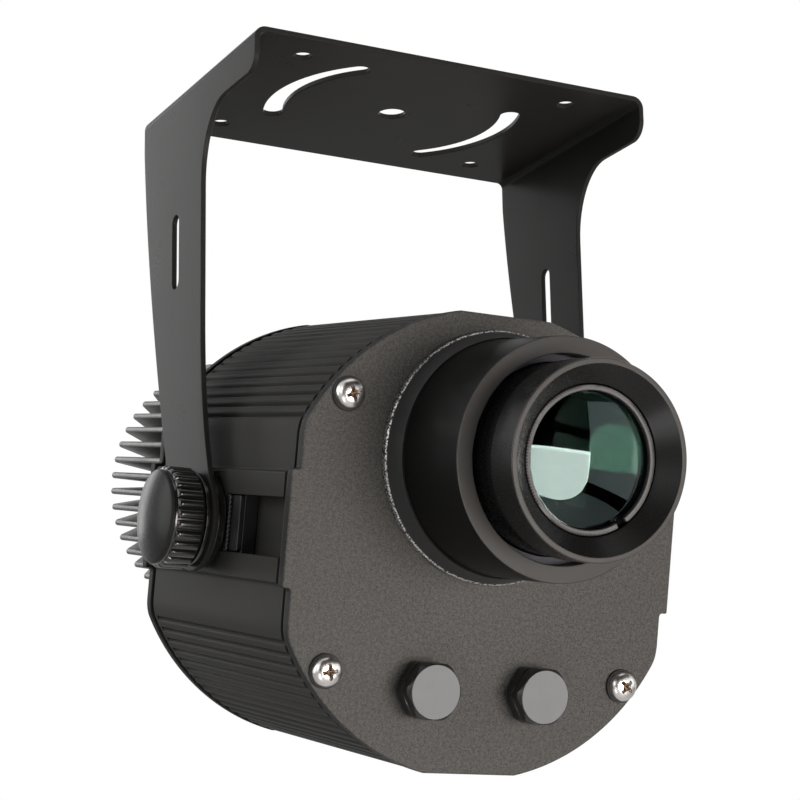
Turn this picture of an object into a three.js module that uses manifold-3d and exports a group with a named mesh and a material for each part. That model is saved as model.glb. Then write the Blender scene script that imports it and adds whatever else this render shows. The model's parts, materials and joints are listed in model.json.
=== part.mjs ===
// Gobo projector with its hanging bracket.
//
// Millimetres, +Z up. The front of the projector faces -Y and +X is on the
// viewer's right. The origin is the centre of the hole in the middle of the
// bracket's top face. The head hangs in the bracket on two clamp knobs and is
// drawn nose down by headPitch, so its pieces are built level, about the
// pivot axis, and sit in groups that are turned as a whole.

import * as THREE from 'three';
import { mergeVertices } from 'three/addons/utils/BufferGeometryUtils.js';
import Module from 'manifold-3d';

const wasm = await Module();
wasm.setup();

// Clearances.
const seatGap = 0.3; // left between pieces that touch or seat
const runningGap = 0.4; // left round pieces that turn or slide
const overrun = 4; // how far a cutting shape runs past what it cuts
const mergeDistance = 0.0001; // vertices closer than this are one vertex

// Hanging bracket, one strip of sheet metal bent to a U.
const sheetThickness = 2;
const bracketSpan = 165.4; // over the outer faces of the arms
const bracketDepth = 106; // top plate, front to back
const bendRadius = 2.5; // inside the bends
const pivotDrop = 170; // top face down to the pivot axis
const pivotSetback = 1.1; // pivot axis behind the centre hole
const armEndRadius = 18.5; // round end of each arm about the pivot
const armFront = -4.6; // front edge of the narrow part of the arm
const neckDrop = 95; // where the front edge starts to swell to the round end
const swellDrop = 135; // where that swell is steepest
const neckAngle = 142; // degrees round the end where the swell meets it
const shoulderDrop = 16.3; // lower edge of the full depth shoulder
const shoulderCorner = 7; // its front corner radius
const sweepWidth = 20.4; // elliptic sweep from the shoulder into the arm
const sweepHeight = 28;
const backStraight = 14; // straight top part of the rear edge
const backKneeSetback = 47.3; // point that the rear edge bows towards
const backKneeDrop = 82.7;
const armSlotWidth = 6;
const armSlotTop = 49.5; // drop of the slot's upper end
const armSlotLength = 29;
const armSlotSetback = 20.1;
const centreHoleRadius = 5.2;
const cornerHoleRadius = 3.25;
const cornerHoleSide = 56.6;
const cornerHoleFront = 37.7;
const arcSlotRadius = 46.7; // centre line of the two curved slots
const arcSlotWidth = 7.5;
const arcSlotMiddle = 12.3; // degrees from the +X side
const arcSlotSweep = 70.6; // degrees between the centres of its round ends

// Clamp knobs, studs and the discs on the pivot.
const studRadius = 3.9;
const studHead = 9; // length of stud moulded into the knob
const studTipRecess = 1; // stud end short of the slide block's inner face
const knobWasherThickness = 1.6;
const knobWasherRadius = 16.8;
const knobRadius = 18.3; // over the flutes
const knobFluteDepth = 1.3;
const knobFlutes = 28;
const knobLength = 11.8;
const knobFlutePlateauShare = 0.46; // of a flute's pitch
const knobRimChamfer = 1.1;
const capRadius = 16.1;
const capSink = 1.4; // how deep the cap sits in the knob
const capEdge = 0.5; // cap edge above the knob's rim
const capDome = 3.6;
const spacerRadius = 16.9;
const pivotBushWall = 0.5;

// Housing: an extruded body with ribbed corners, flat sides and a clamp rail
// on each side. The end plates follow the same outline.
const outlineRadius = 82;
const plateFlatTop = 80; // half height over the flats
const plateFlatSide = 73.8; // half width over the flats
const earReach = 76.9; // half width over the rails
const earHalf = 20; // half height of the plate's ears
const plateInset = 0.3; // housing and gaskets inside the plates' outline
const railHalf = 18.9; // half height of the rail
const ribDepth = 1.7;
const ribsPerCorner = 16;
const ribStartHeight = 38.1; // height of the first rib above the middle
const ribCrestShares = [0.34, 0.78]; // crest edges along a rib's pitch
const cavityRadius = 75.4;
const railMouthHalf = 10.2; // half height of the rail's open mouth
const railLip = 3; // lip thickness at the mouth
const railUndercutHalf = 14.2;
const railFloorDepth = 8.8; // outer face of the rail to its floor
const railWall = 2.4; // wall behind the rail floor
const bossRadius = 6.2; // screw bosses inside the corners
const screwSide = 58.9;
const screwRise = 46.8;
const frontPlateThickness = 4.5;
const rearPlateThickness = 4.2;
const gasketThickness = 1.6;
const gasketInset = 0.9; // gasket inside the plates' outline
const housingLength = 117.3;
const pivotToFront = 68.8; // pivot axis to the front face of the front plate

// Case screws with their captive washers.
const screwRadius = 2.6;
const screwLength = 20;
const screwHeadRadius = 5.4;
const screwHeadHeight = 3.6;
const screwDomeShare = 0.72; // flat top of the domed head, of its radius
const washerRadius = 6;
const washerThickness = 1.2;

// Slide blocks that run in the rails and carry the pivot.
const blockLength = 47.8;
const blockStemProud = 0.5; // block stem short of the rail's outer face
const lockPlateThickness = 1;
const lockPlateLength = 34;

// Lens: a fixed collar on the front plate and a focusing barrel in it. Each
// radius is built outwards from the lens: ring, barrel, collar and flange.
const lensRise = 30.15; // optical axis above the middle of the plate
const ringOuterRadius = 24.7; // retaining ring
const ringWidth = 1.9;
const ringThickness = 1.8;
const ringRecess = 6.1; // front face of the ring behind the barrel's face
const ringSplit = 3.2; // opening between the ring's ends
const ringSplitAngle = 305; // degrees, from +X towards +Z
const lensEdge = 4.2; // edge thickness of the front lens
const lensFrontCrown = 3.4;
const lensRearCrown = 4.6;
const lensSeat = 2.4; // shoulder at the barrel's rear end
const lensSeatWidth = 2.4;
const spacerTubeWall = 1.8;
const rearLensEdge = 3.6;
const rearLensCrown = 3.8;
const barrelWall = 7.2; // at the thread
const barrelHeadProud = 1.1; // head outside the thread
const barrelHeadLength = 13.8;
const barrelRim = 1.8; // width of the flat front rim
const barrelReach = 69.2; // barrel's front face ahead of the plate
const barrelTail = 6; // behind the plate's front face
const sealGrooveWidth = 2.8;
const sealGrooveDepth = 2.1;
const sealGrooveReach = 34; // middle of the groove ahead of the plate
const collarMouthGap = 1.9; // round the barrel's head
const collarWall = 6; // at the mouth
const collarMouthDepth = 8.4;
const collarReach = 47.2; // front face of the collar ahead of the plate
const collarChamfer = 0.5;
const collarConeRise = 0.5; // step where the cone meets the tube
const collarConeTop = 10; // where the cone meets the tube
const collarFlangeRise = 3.2; // flange outside the tube
const collarFlange = 2.8; // flange's proud height
const collarFlangeEdge = 0.6; // its bright chamfer
const spigotStep = 3.6; // spigot inside the tube's outer face
const spigotTail = 1.2; // behind the plate

// Round covers over the two controls on the front plate.
const coverSide = 21.6;
const coverRise = -51.3;
const coverHeight = 10.8;
const coverFaceRadius = 9.3;
const coverFlats = 19.2; // across the flats of the hexagon
const coverCorners = 10.6; // corner radius of the hexagon's turned edge
const coverChamfer = 1.1;
const coverGroove = 0.5; // groove between the two hexagons
const coverGrooveShare = 0.5; // of the cover's height, from the plate
const coverTop = 1.6; // thickness of its end wall
const coverNut = 3; // lower part that screws on the neck
const sealWasherThickness = 0.9;
const sealWasherRadius = 8.9;
const controlNeckRadius = 4.9;
const controlNeck = 6.2; // neck's reach ahead of the plate
const controlNutBore = 5.4;
const controlBodyRadius = 8;
const controlBodyDepth = 9;
const controlShaftRadius = 3;
const controlShaftBore = 3.4;
const controlShaftProud = 1.4; // shaft ahead of its neck
const controlSlot = 1;

// Heat sink: radial fins on a solid round core, behind the rear plate.
const sinkRise = 14.2;
const sinkTipRadius = 55.2;
const sinkCoreRadius = 31;
const sinkFins = 50;
const sinkFinThickness = 2.7;
const sinkPhase = 1.3; // degrees
const sinkLength = 100.8; // along the fins

// Light source.
const boardSide = 44;
const boardThickness = 1.6;
const emitterSide = 20;
const emitterThickness = 1.2;
const emitterDomeRadius = 8;
const emitterDomeHeight = 1.4;

// Gobo stage: a plate across the housing that carries the bearing, the
// toothed gobo holder, its motor and the condenser tube.
const stagePlace = 36; // front face behind the plate's front face
const stageThickness = 3;
const bearingFlangeRadius = 31;
const bearingFlange = 1.5;
const bearingRadius = 26.8;
const bearingBore = 24.4;
const gearTeeth = 36;
const pinionTeeth = 9;
const gearModule = 2;
const gearThickness = 4;
const gearHubRadius = 24;
const gearBore = 16.5; // clear aperture for the light
const goboRadius = 18.75;
const goboThickness = 1.1;
const goboWindows = 8;
const goboWindowInnerRadius = 5;
const goboWindowOuterRadius = 14;
const goboWindowSpan = 24; // degrees
const clipThickness = 1;
const clipWidth = 2.2;
const pinionThickness = 6;
const pinionShaftRadius = 1.5;
const motorRadius = 14;
const motorLength = 20;
const motorEarReach = 17.5;
const motorEarRadius = 3.5;
const motorEarThickness = 1.5;
const tubeFlangeRadius = 27;
const tubeFlange = 2;
const tubeRadius = 23;
const tubeBore = 21.8;
const tubeToBoard = 3.9; // tube's rear end ahead of the light source's board
const condenserEdge = 3;
const condenserCrown = 6.5;
const frontCondenserSetback = 15; // flat side behind the gobo stage
const rearCondenserRecess = 16.4; // flat side inside the tube's rear end
const condenserSeat = 1.6; // depth of the steps that the lenses stand on

// Control electronics.
const boardRise = 12; // driver board above the cavity floor
const driverWidth = 84;
const driverMargin = 12.6; // board short of the gobo stage and the rear plate
const trayWall = 1.6;
const coilSide = 22;
const coilHeight = 15;
const capacitorRadius = 6;
const capacitorHeight = 18;
const terminalWidth = 30;
const terminalDepth = 9;
const terminalHeight = 10;

// Rear fittings.
const glandSide = -30;
const glandRise = -52;
const glandThreadRadius = 7.7;
const glandFlats = 20;
const glandHexHeight = 5.5;
const glandNutRadius = 9;
const glandNutHeight = 11;
const glandBore = 4.6;
const glandTail = 6; // thread behind the plate wall
const ventSide = 30;
const ventRadius = 5.7;
const ventHeadRadius = 8.4;
const ventHeadHeight = 4.5;

// Pose of the head in the photograph.
const headPitch = 12.3; // degrees, nose down

// Facets round a full turn, or along an arc of an outline.
const fineFacets = 36;
const mediumFacets = 20;
const smallFacets = 12;
const arcFacets = 8;
const profileSteps = 3; // along a curved stretch of a turned profile

// Places that follow from the sizes above.
const halfSpan = bracketSpan / 2;
const plateFront = -pivotToFront;
const frontGasketFront = plateFront + frontPlateThickness + seatGap;
const housingFront = frontGasketFront + gasketThickness + seatGap;
const housingRear = housingFront + housingLength;
const rearGasketFront = housingRear + seatGap;
const rearPlateFront = rearGasketFront + gasketThickness + seatGap;
const rearPlateRear = rearPlateFront + rearPlateThickness;
const cavitySide = earReach - railFloorDepth - railWall;
const stageFront = plateFront + stagePlace;
const stageRear = stageFront + stageThickness;
const boardRear = rearPlateFront - seatGap;
const boardFront = boardRear - boardThickness;
const condenserTubeRear = boardFront - tubeToBoard;
const frontCondenserPlace = stageRear + frontCondenserSetback;
const rearCondenserPlace = condenserTubeRear - rearCondenserRecess;
const driverFront = stageRear + driverMargin;
const driverRear = rearPlateFront - driverMargin;
const gearPitchRadius = (gearModule * gearTeeth) / 2;
const pinionPitchRadius = (gearModule * pinionTeeth) / 2;
const pinionRise = lensRise - gearPitchRadius - pinionPitchRadius - runningGap;
const cavityFloor = -Math.sqrt(cavityRadius ** 2 - (driverWidth / 2) ** 2);
const lensPocket = ringOuterRadius + seatGap;
const ringFront = barrelReach - ringRecess;
const barrelRadius = lensPocket + barrelWall;
const barrelHeadRadius = barrelRadius + barrelHeadProud;
const collarMouth = barrelHeadRadius + collarMouthGap;
const collarRadius = collarMouth + collarWall;
const spigotRadius = collarRadius - spigotStep;

const radians = THREE.MathUtils.degToRad;
const fullTurn = Math.PI * 2;

// Materials.
function finish(color, roughness, metalness, opacity = 1) {
  return new THREE.MeshStandardMaterial({
    color,
    roughness,
    metalness,
    opacity,
    transparent: opacity < 1,
  });
}

const bracketPaint = finish(0x3a3a3b, 0.5, 0.2);
const housingPaint = finish(0x4a4a48, 0.55, 0.3);
const plateTexture = finish(0x55534f, 0.75, 0.25);
const blackAnodised = finish(0x1d1d1c, 0.35, 0.6);
const barrelPaint = finish(0x2c2c2b, 0.4, 0.5);
const blackPlastic = finish(0x161617, 0.4, 0);
const greyCap = finish(0xb9b4ac, 0.35, 0);
const paleCap = finish(0xc9c8cc, 0.5, 0);
const steel = finish(0xc4c0ba, 0.25, 1);
const darkSteel = finish(0x5a5a5c, 0.4, 0.9);
const sinkAluminium = finish(0xa9a8a0, 0.45, 0.8);
const rubber = finish(0x121212, 0.85, 0);
const lensGlass = finish(0xbfd8d2, 0.05, 0, 0.35);
const circuitBoard = finish(0x1e5a34, 0.55, 0);
const whiteBoard = finish(0xe4e4de, 0.5, 0);
const emitterYellow = finish(0xe0c040, 0.4, 0);
const gearPlastic = finish(0xd9d6cc, 0.5, 0);
const brass = finish(0xb08d4c, 0.35, 0.9);
const motorSteel = finish(0x8c8c8e, 0.4, 0.8);

// Solids.
// A geometry becomes a closed solid once its shared corners are merged, its
// empty triangles dropped and its faces turned outwards.
function solid(geometry) {
  const bare = new THREE.BufferGeometry();
  bare.setAttribute('position', geometry.getAttribute('position').clone());
  if (geometry.index) bare.setIndex(geometry.index.clone());
  const merged = mergeVertices(bare, mergeDistance);
  const points = merged.getAttribute('position').array;
  const index = merged.index.array;
  const triangles = [];
  let volume = 0;
  for (let i = 0; i < index.length; i += 3) {
    const [a, b, c] = [index[i], index[i + 1], index[i + 2]];
    if (a === b || b === c || c === a) continue;
    triangles.push(a, b, c);
    const p = new THREE.Vector3().fromArray(points, a * 3);
    const q = new THREE.Vector3().fromArray(points, b * 3);
    const r = new THREE.Vector3().fromArray(points, c * 3);
    volume += p.dot(q.cross(r));
  }
  if (volume < 0) {
    for (let i = 0; i < triangles.length; i += 3) {
      [triangles[i], triangles[i + 1]] = [triangles[i + 1], triangles[i]];
    }
  }
  const mesh = new wasm.Mesh({
    numProp: 3,
    vertProperties: Float32Array.from(points),
    triVerts: Uint32Array.from(triangles),
  });
  return new wasm.Manifold(mesh);
}

function joined(first, ...rest) {
  return rest.reduce((sum, piece) => sum.add(piece), first);
}

function cut(first, ...tools) {
  return tools.reduce((left, tool) => left.subtract(tool), first);
}

function geometryOf(manifold) {
  const { vertProperties, triVerts, numProp } = manifold.getMesh();
  const points = new Float32Array((vertProperties.length / numProp) * 3);
  for (let i = 0; i * numProp < vertProperties.length; i += 1) {
    for (let k = 0; k < 3; k += 1) points[i * 3 + k] = vertProperties[i * numProp + k];
  }
  const geometry = new THREE.BufferGeometry();
  geometry.setAttribute('position', new THREE.BufferAttribute(points, 3));
  geometry.setIndex(Array.from(triVerts));
  return geometry;
}

// Prisms: a flat outline carried along one axis. Along Y the outline's own
// axes are X and Z, along X they are Y and Z, and along Z they are X and Y.
function prism(shape, length, facets = mediumFacets) {
  return new THREE.ExtrudeGeometry(shape, {
    depth: length,
    bevelEnabled: false,
    curveSegments: facets / 2,
  });
}

function prismY(shape, front, rear, facets) {
  const geometry = prism(shape, rear - front, facets);
  geometry.rotateX(Math.PI / 2);
  geometry.translate(0, rear, 0);
  return solid(geometry);
}

function prismX(shape, left, right, facets) {
  const geometry = prism(shape, right - left, facets);
  const axes = new THREE.Matrix4().makeBasis(
    new THREE.Vector3(0, 1, 0),
    new THREE.Vector3(0, 0, 1),
    new THREE.Vector3(1, 0, 0),
  );
  geometry.applyMatrix4(axes);
  geometry.translate(left, 0, 0);
  return solid(geometry);
}

function prismZ(shape, bottom, top, facets) {
  const geometry = prism(shape, top - bottom, facets);
  geometry.translate(0, 0, bottom);
  return solid(geometry);
}

// Turned pieces: a closed profile of [radius, place along the axis] points.
function turned(profile, facets) {
  const points = profile.map(([radius, place]) => new THREE.Vector2(radius, place));
  points.push(points[0].clone());
  return new THREE.LatheGeometry(points, facets);
}

function turnedY(profile, facets = fineFacets) {
  return solid(turned(profile, facets));
}

function turnedX(profile, facets = mediumFacets) {
  const geometry = turned(profile, facets);
  geometry.rotateZ(-Math.PI / 2);
  return solid(geometry);
}

// Flat outlines.
function circle(radius, x = 0, y = 0) {
  const shape = new THREE.Shape();
  shape.absarc(x, y, radius, 0, fullTurn, false);
  return shape;
}

function rectangle(width, height, x = 0, y = 0) {
  const shape = new THREE.Shape();
  shape.moveTo(x - width / 2, y - height / 2);
  shape.lineTo(x + width / 2, y - height / 2);
  shape.lineTo(x + width / 2, y + height / 2);
  shape.lineTo(x - width / 2, y + height / 2);
  shape.closePath();
  return shape;
}

function roundedSlot(width, length, x, y) {
  const half = (length - width) / 2;
  const shape = new THREE.Shape();
  shape.absarc(x, y + half, width / 2, 0, Math.PI, false);
  shape.absarc(x, y - half, width / 2, Math.PI, fullTurn, false);
  shape.closePath();
  return shape;
}

function hexagon(flats, x = 0, y = 0) {
  const shape = new THREE.Shape();
  const corner = flats / Math.sqrt(3);
  for (let i = 0; i < 6; i += 1) {
    const angle = (i * fullTurn) / 6;
    const place = [x + corner * Math.cos(angle), y + corner * Math.sin(angle)];
    if (i === 0) shape.moveTo(...place);
    else shape.lineTo(...place);
  }
  shape.closePath();
  return shape;
}

// A slot that follows a circle about the origin, with round ends. The middle
// and the sweep are in radians.
function arcSlot(radius, width, middle, sweep) {
  const start = middle - sweep / 2;
  const end = middle + sweep / 2;
  const half = width / 2;
  const shape = new THREE.Shape();
  shape.absarc(0, 0, radius + half, start, end, false);
  shape.absarc(radius * Math.cos(end), radius * Math.sin(end), half, end, end + Math.PI, false);
  shape.absarc(0, 0, radius - half, end, start, true);
  shape.absarc(
    radius * Math.cos(start),
    radius * Math.sin(start),
    half,
    start + Math.PI,
    start + fullTurn,
    false,
  );
  shape.closePath();
  return shape;
}

function polar(radius, angle) {
  return [radius * Math.cos(angle), radius * Math.sin(angle)];
}

function tracedOutline(points) {
  const shape = new THREE.Shape();
  points.forEach(([x, y], i) => {
    if (i === 0) shape.moveTo(x, y);
    else shape.lineTo(x, y);
  });
  shape.closePath();
  return shape;
}

// Outline of the housing and its end plates: a circle cut off by flats at the
// top, bottom and sides, with an ear for the rail on each side. The corner
// function gives the points of the upper right corner between two angles.
function caseOutline(inset, earHeight, corner) {
  const radius = outlineRadius - inset;
  const top = plateFlatTop - inset;
  const side = plateFlatSide - inset;
  const ear = earReach - inset;
  const low = Math.asin(Math.sqrt(radius ** 2 - side ** 2) / radius);
  const high = Math.acos(Math.sqrt(radius ** 2 - top ** 2) / radius);
  const quarter = [[ear, earHeight], [side, earHeight], ...corner(radius, low, high)];
  const half = [...quarter, ...quarter.map(([x, y]) => [-x, y]).reverse()];
  return tracedOutline([...half, ...half.map(([x, y]) => [x, -y]).reverse()]);
}

function plainCorner(radius, low, high) {
  const points = [];
  const steps = profileSteps * 2;
  for (let i = 0; i <= steps; i += 1) {
    points.push(polar(radius, low + ((high - low) * i) / steps));
  }
  return points;
}

// Ribs run along the housing: a flat crest and a V groove for each pitch.
function ribbedCorner(radius, low, high) {
  const start = Math.asin(ribStartHeight / radius);
  const pitch = (high - start) / ribsPerCorner;
  const points = [polar(radius, low), polar(radius, start)];
  for (let i = 0; i < ribsPerCorner; i += 1) {
    const groove = start + pitch * i;
    if (i > 0) points.push(polar(radius - ribDepth, groove));
    for (const share of ribCrestShares) {
      points.push(polar(radius, groove + pitch * share));
    }
  }
  points.push(polar(radius, high));
  return points;
}

function cavityOutline(inset) {
  const radius = cavityRadius - inset;
  const side = cavitySide - inset;
  const low = Math.acos(side / radius);
  const shape = new THREE.Shape();
  shape.absarc(0, 0, radius, low, Math.PI - low, false);
  shape.absarc(0, 0, radius, Math.PI + low, fullTurn - low, false);
  shape.closePath();
  return shape;
}

function fourCorners(side, rise) {
  return [[-side, rise], [side, rise], [-side, -rise], [side, -rise]];
}

function screwHoles(front, rear) {
  const radius = screwRadius + runningGap;
  return fourCorners(screwSide, screwRise).map(([x, z]) =>
    prismY(circle(radius, x, z), front - overrun, rear + overrun, smallFacets),
  );
}

// Hanging bracket.
function bracketSection() {
  const outer = bendRadius + sheetThickness;
  const inside = halfSpan - sheetThickness;
  const low = -(pivotDrop + armEndRadius + overrun);
  const centre = halfSpan - outer;
  const shape = new THREE.Shape();
  shape.moveTo(-halfSpan, low);
  shape.lineTo(-halfSpan, -outer);
  shape.absarc(-centre, -outer, outer, Math.PI, Math.PI / 2, true);
  shape.absarc(centre, -outer, outer, Math.PI / 2, 0, true);
  shape.lineTo(halfSpan, low);
  shape.lineTo(inside, low);
  shape.absarc(centre, -outer, bendRadius, 0, Math.PI / 2, false);
  shape.absarc(-centre, -outer, bendRadius, Math.PI / 2, Math.PI, false);
  shape.lineTo(-inside, low);
  shape.closePath();
  return shape;
}

function armOutline() {
  const half = bracketDepth / 2;
  const cornerDrop = shoulderDrop - shoulderCorner;
  const neck = radians(neckAngle);
  const rise = pivotDrop - backKneeDrop;
  const run = backKneeSetback - pivotSetback;
  const tangent = Math.atan2(rise, run) - Math.acos(armEndRadius / Math.hypot(rise, run));
  const shape = new THREE.Shape();
  shape.moveTo(half, overrun);
  shape.lineTo(-half, overrun);
  shape.lineTo(-half, -cornerDrop);
  shape.absarc(-half + shoulderCorner, -cornerDrop, shoulderCorner, Math.PI, Math.PI * 1.5, false);
  shape.absellipse(
    armFront - sweepWidth,
    -(shoulderDrop + sweepHeight),
    sweepWidth,
    sweepHeight,
    Math.PI / 2,
    0,
    true,
    0,
  );
  shape.lineTo(armFront, -neckDrop);
  shape.quadraticCurveTo(
    armFront,
    -swellDrop,
    pivotSetback + armEndRadius * Math.cos(neck),
    -pivotDrop + armEndRadius * Math.sin(neck),
  );
  shape.absarc(pivotSetback, -pivotDrop, armEndRadius, neck, fullTurn + tangent, false);
  shape.quadraticCurveTo(backKneeSetback, -backKneeDrop, half, -backStraight);
  shape.closePath();
  return shape;
}

function hangingBracket() {
  const half = bracketDepth / 2 + overrun;
  const reach = halfSpan + overrun;
  const strip = prismY(bracketSection(), -half, half, arcFacets);
  const sides = prismX(armOutline(), -reach, reach, arcFacets);
  const plateHole = (shape, facets) =>
    prismZ(shape, -sheetThickness - overrun, overrun, facets);
  const pivotHole = circle(studRadius + runningGap, pivotSetback, -pivotDrop);
  const slotMiddle = -(armSlotTop + armSlotLength / 2);
  const armSlot = roundedSlot(armSlotWidth, armSlotLength, armSlotSetback, slotMiddle);
  return cut(
    strip.intersect(sides),
    plateHole(circle(centreHoleRadius), smallFacets),
    ...fourCorners(cornerHoleSide, cornerHoleFront).map(([x, y]) =>
      plateHole(circle(cornerHoleRadius, x, y), smallFacets),
    ),
    ...[0, Math.PI].map((turn) => {
      const middle = radians(arcSlotMiddle) + turn;
      return plateHole(
        arcSlot(arcSlotRadius, arcSlotWidth, middle, radians(arcSlotSweep)),
        arcFacets,
      );
    }),
    prismX(pivotHole, -reach, reach, smallFacets),
    prismX(armSlot, -reach, reach, arcFacets),
  );
}

// Clamp knob, drawn on +X with its foot at x = 0. Its flutes run along the
// rim, and a cone with one facet for each flute rounds their outer ends.
function knobBody() {
  const outline = [];
  const pitch = fullTurn / knobFlutes;
  for (let i = 0; i < knobFlutes; i += 1) {
    const valley = i * pitch;
    const side = (pitch * (1 - knobFlutePlateauShare)) / 2;
    outline.push(polar(knobRadius - knobFluteDepth, valley));
    outline.push(polar(knobRadius, valley + side));
    outline.push(polar(knobRadius, valley + pitch - side));
  }
  const fluted = prismX(tracedOutline(outline), 0, knobLength);
  const coneRadius = knobRadius / Math.cos(pitch / 2);
  const turnedForm = turnedX([
    [0, -overrun],
    [coneRadius, -overrun],
    [coneRadius, knobLength - knobRimChamfer],
    [coneRadius - knobRimChamfer - overrun, knobLength + overrun],
    [0, knobLength + overrun],
  ], knobFlutes);
  const capSeat = turnedX([
    [0, knobLength - capSink],
    [capRadius + seatGap, knobLength - capSink],
    [capRadius + seatGap, knobLength + overrun],
    [0, knobLength + overrun],
  ]);
  const studSeat = turnedX([
    [0, -overrun],
    [studRadius + seatGap, -overrun],
    [studRadius + seatGap, studHead + seatGap],
    [0, studHead + seatGap],
  ], smallFacets);
  return cut(fluted.intersect(turnedForm), capSeat, studSeat);
}

function knobCap() {
  const foot = knobLength - capSink + seatGap;
  const edge = knobLength + capEdge;
  const profile = [[0, foot], [capRadius, foot], [capRadius, edge]];
  const sphere = (capRadius ** 2 + capDome ** 2) / (2 * capDome);
  const span = Math.asin(capRadius / sphere);
  for (let i = profileSteps - 1; i >= 0; i -= 1) {
    const angle = (span * i) / profileSteps;
    profile.push([sphere * Math.sin(angle), edge + capDome - sphere * (1 - Math.cos(angle))]);
  }
  return turnedX(profile);
}

function knobStud(reach) {
  return turnedX([[0, -reach], [studRadius, -reach], [studRadius, studHead], [0, studHead]],
    smallFacets);
}

function ring(inner, outer, from, to, facets = mediumFacets) {
  return turnedX([[inner, from], [outer, from], [outer, to], [inner, to]], facets);
}

// Slide block, drawn on +X about the pivot: a stem in the rail's mouth and a
// wider foot behind the lips.
function slideBlock() {
  const floor = earReach - railFloorDepth + seatGap;
  const lipInner = earReach - railLip - seatGap;
  const stemEnd = earReach - blockStemProud - lockPlateThickness;
  const foot = rectangle(blockLength, (railUndercutHalf - seatGap) * 2);
  const stem = rectangle(blockLength, (railMouthHalf - seatGap) * 2);
  const bore = circle(studRadius + runningGap);
  return cut(
    joined(prismX(foot, floor, lipInner), prismX(stem, floor, stemEnd)),
    prismX(bore, floor - overrun, stemEnd + overrun, smallFacets),
  );
}

// Toothed lock plate on the block's outer face.
function lockPlate() {
  const half = railMouthHalf - seatGap;
  const start = earReach - blockStemProud - lockPlateThickness + seatGap;
  const teeth = 12;
  const pitch = (half * 2) / teeth;
  const end = lockPlateLength / 2;
  const points = [[end, -half], [end, half]];
  for (let i = 0; i < teeth; i += 1) {
    const z = half - pitch * i;
    points.push([-end, z], [-end - pitch / 2, z - pitch / 2]);
  }
  points.push([-end, -half]);
  const bore = circle(studRadius + runningGap);
  return cut(
    prismX(tracedOutline(points), start, start + lockPlateThickness),
    prismX(bore, start - overrun, start + lockPlateThickness + overrun, smallFacets),
  );
}

// Housing extrusion.
function housing() {
  const front = housingFront;
  const rear = housingRear;
  const body = prismY(caseOutline(plateInset, railHalf, ribbedCorner), front, rear);
  const bosses = fourCorners(screwSide, screwRise).map(([x, z]) =>
    prismY(circle(bossRadius, x, z), front - overrun * 2, rear + overrun * 2, smallFacets),
  );
  const cavity = cut(
    prismY(cavityOutline(0), front - overrun, rear + overrun, arcFacets),
    ...bosses,
  );
  const mouth = prismY(
    rectangle(railFloorDepth + overrun, railMouthHalf * 2, earReach + (overrun - railFloorDepth) / 2),
    front - overrun,
    rear + overrun,
  );
  const undercutDepth = railFloorDepth - railLip;
  const undercut = prismY(
    rectangle(undercutDepth, railUndercutHalf * 2, earReach - railLip - undercutDepth / 2),
    front - overrun,
    rear + overrun,
  );
  const rail = joined(mouth, undercut);
  return cut(body, cavity, rail, rail.mirror([1, 0, 0]), ...screwHoles(front, rear));
}

function frontPlate() {
  const rear = plateFront + frontPlateThickness;
  const outline = caseOutline(0, earHalf, plainCorner);
  const front = plateFront - overrun;
  const back = rear + overrun;
  return cut(
    prismY(outline, plateFront, rear),
    prismY(circle(spigotRadius + seatGap, 0, lensRise), front, back, fineFacets),
    ...[-coverSide, coverSide].map((x) =>
      prismY(circle(controlNeckRadius + seatGap, x, coverRise), front, back, smallFacets),
    ),
    ...screwHoles(plateFront, rear),
  );
}

function gasket(front) {
  const rear = front + gasketThickness;
  return cut(
    prismY(caseOutline(gasketInset, railHalf, plainCorner), front, rear),
    cut(
      prismY(cavityOutline(0), front - overrun, rear + overrun, arcFacets),
      ...fourCorners(screwSide, screwRise).map(([x, z]) =>
        prismY(circle(bossRadius, x, z), front - overrun * 2, rear + overrun * 2, smallFacets),
      ),
    ),
    ...screwHoles(front, rear),
  );
}

function rearPlate() {
  const outline = caseOutline(0, earHalf, plainCorner);
  const front = rearPlateFront - overrun;
  const back = rearPlateRear + overrun;
  return cut(
    prismY(outline, rearPlateFront, rearPlateRear),
    prismY(circle(glandThreadRadius + seatGap, glandSide, glandRise), front, back, smallFacets),
    prismY(circle(ventRadius + seatGap, ventSide, glandRise), front, back, smallFacets),
    ...screwHoles(rearPlateFront, rearPlateRear),
  );
}

// Case screw with its captive washer, drawn from the plate's face at y = 0,
// its head towards -Y.
function caseScrew() {
  const head = -(washerThickness + seatGap);
  const top = head - screwHeadHeight;
  return turnedY([
    [0, screwLength],
    [screwRadius, screwLength],
    [screwRadius, -seatGap],
    [washerRadius, -seatGap],
    [washerRadius, head],
    [screwHeadRadius, head],
    [screwHeadRadius * screwDomeShare, top],
    [0, top],
  ], smallFacets);
}

// Lens collar, drawn about the optical axis from the plate's face at y = 0.
function lensCollar() {
  const tail = frontPlateThickness + spigotTail;
  const thread = barrelRadius + runningGap;
  const flange = collarRadius + collarFlangeRise;
  return turnedY([
    [thread, tail],
    [spigotRadius, tail],
    [spigotRadius, -seatGap],
    [flange, -seatGap],
    [flange, -collarFlange + collarFlangeEdge],
    [flange - collarFlangeEdge, -collarFlange],
    [collarRadius + collarConeRise, -collarConeTop],
    [collarRadius, -collarConeTop],
    [collarRadius, -collarReach + collarChamfer],
    [collarRadius - collarChamfer, -collarReach],
    [collarMouth + collarChamfer, -collarReach],
    [collarMouth, -collarReach + collarChamfer],
    [collarMouth, -collarReach + collarMouthDepth],
    [thread, -collarReach + collarMouthDepth],
  ]);
}

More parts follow.
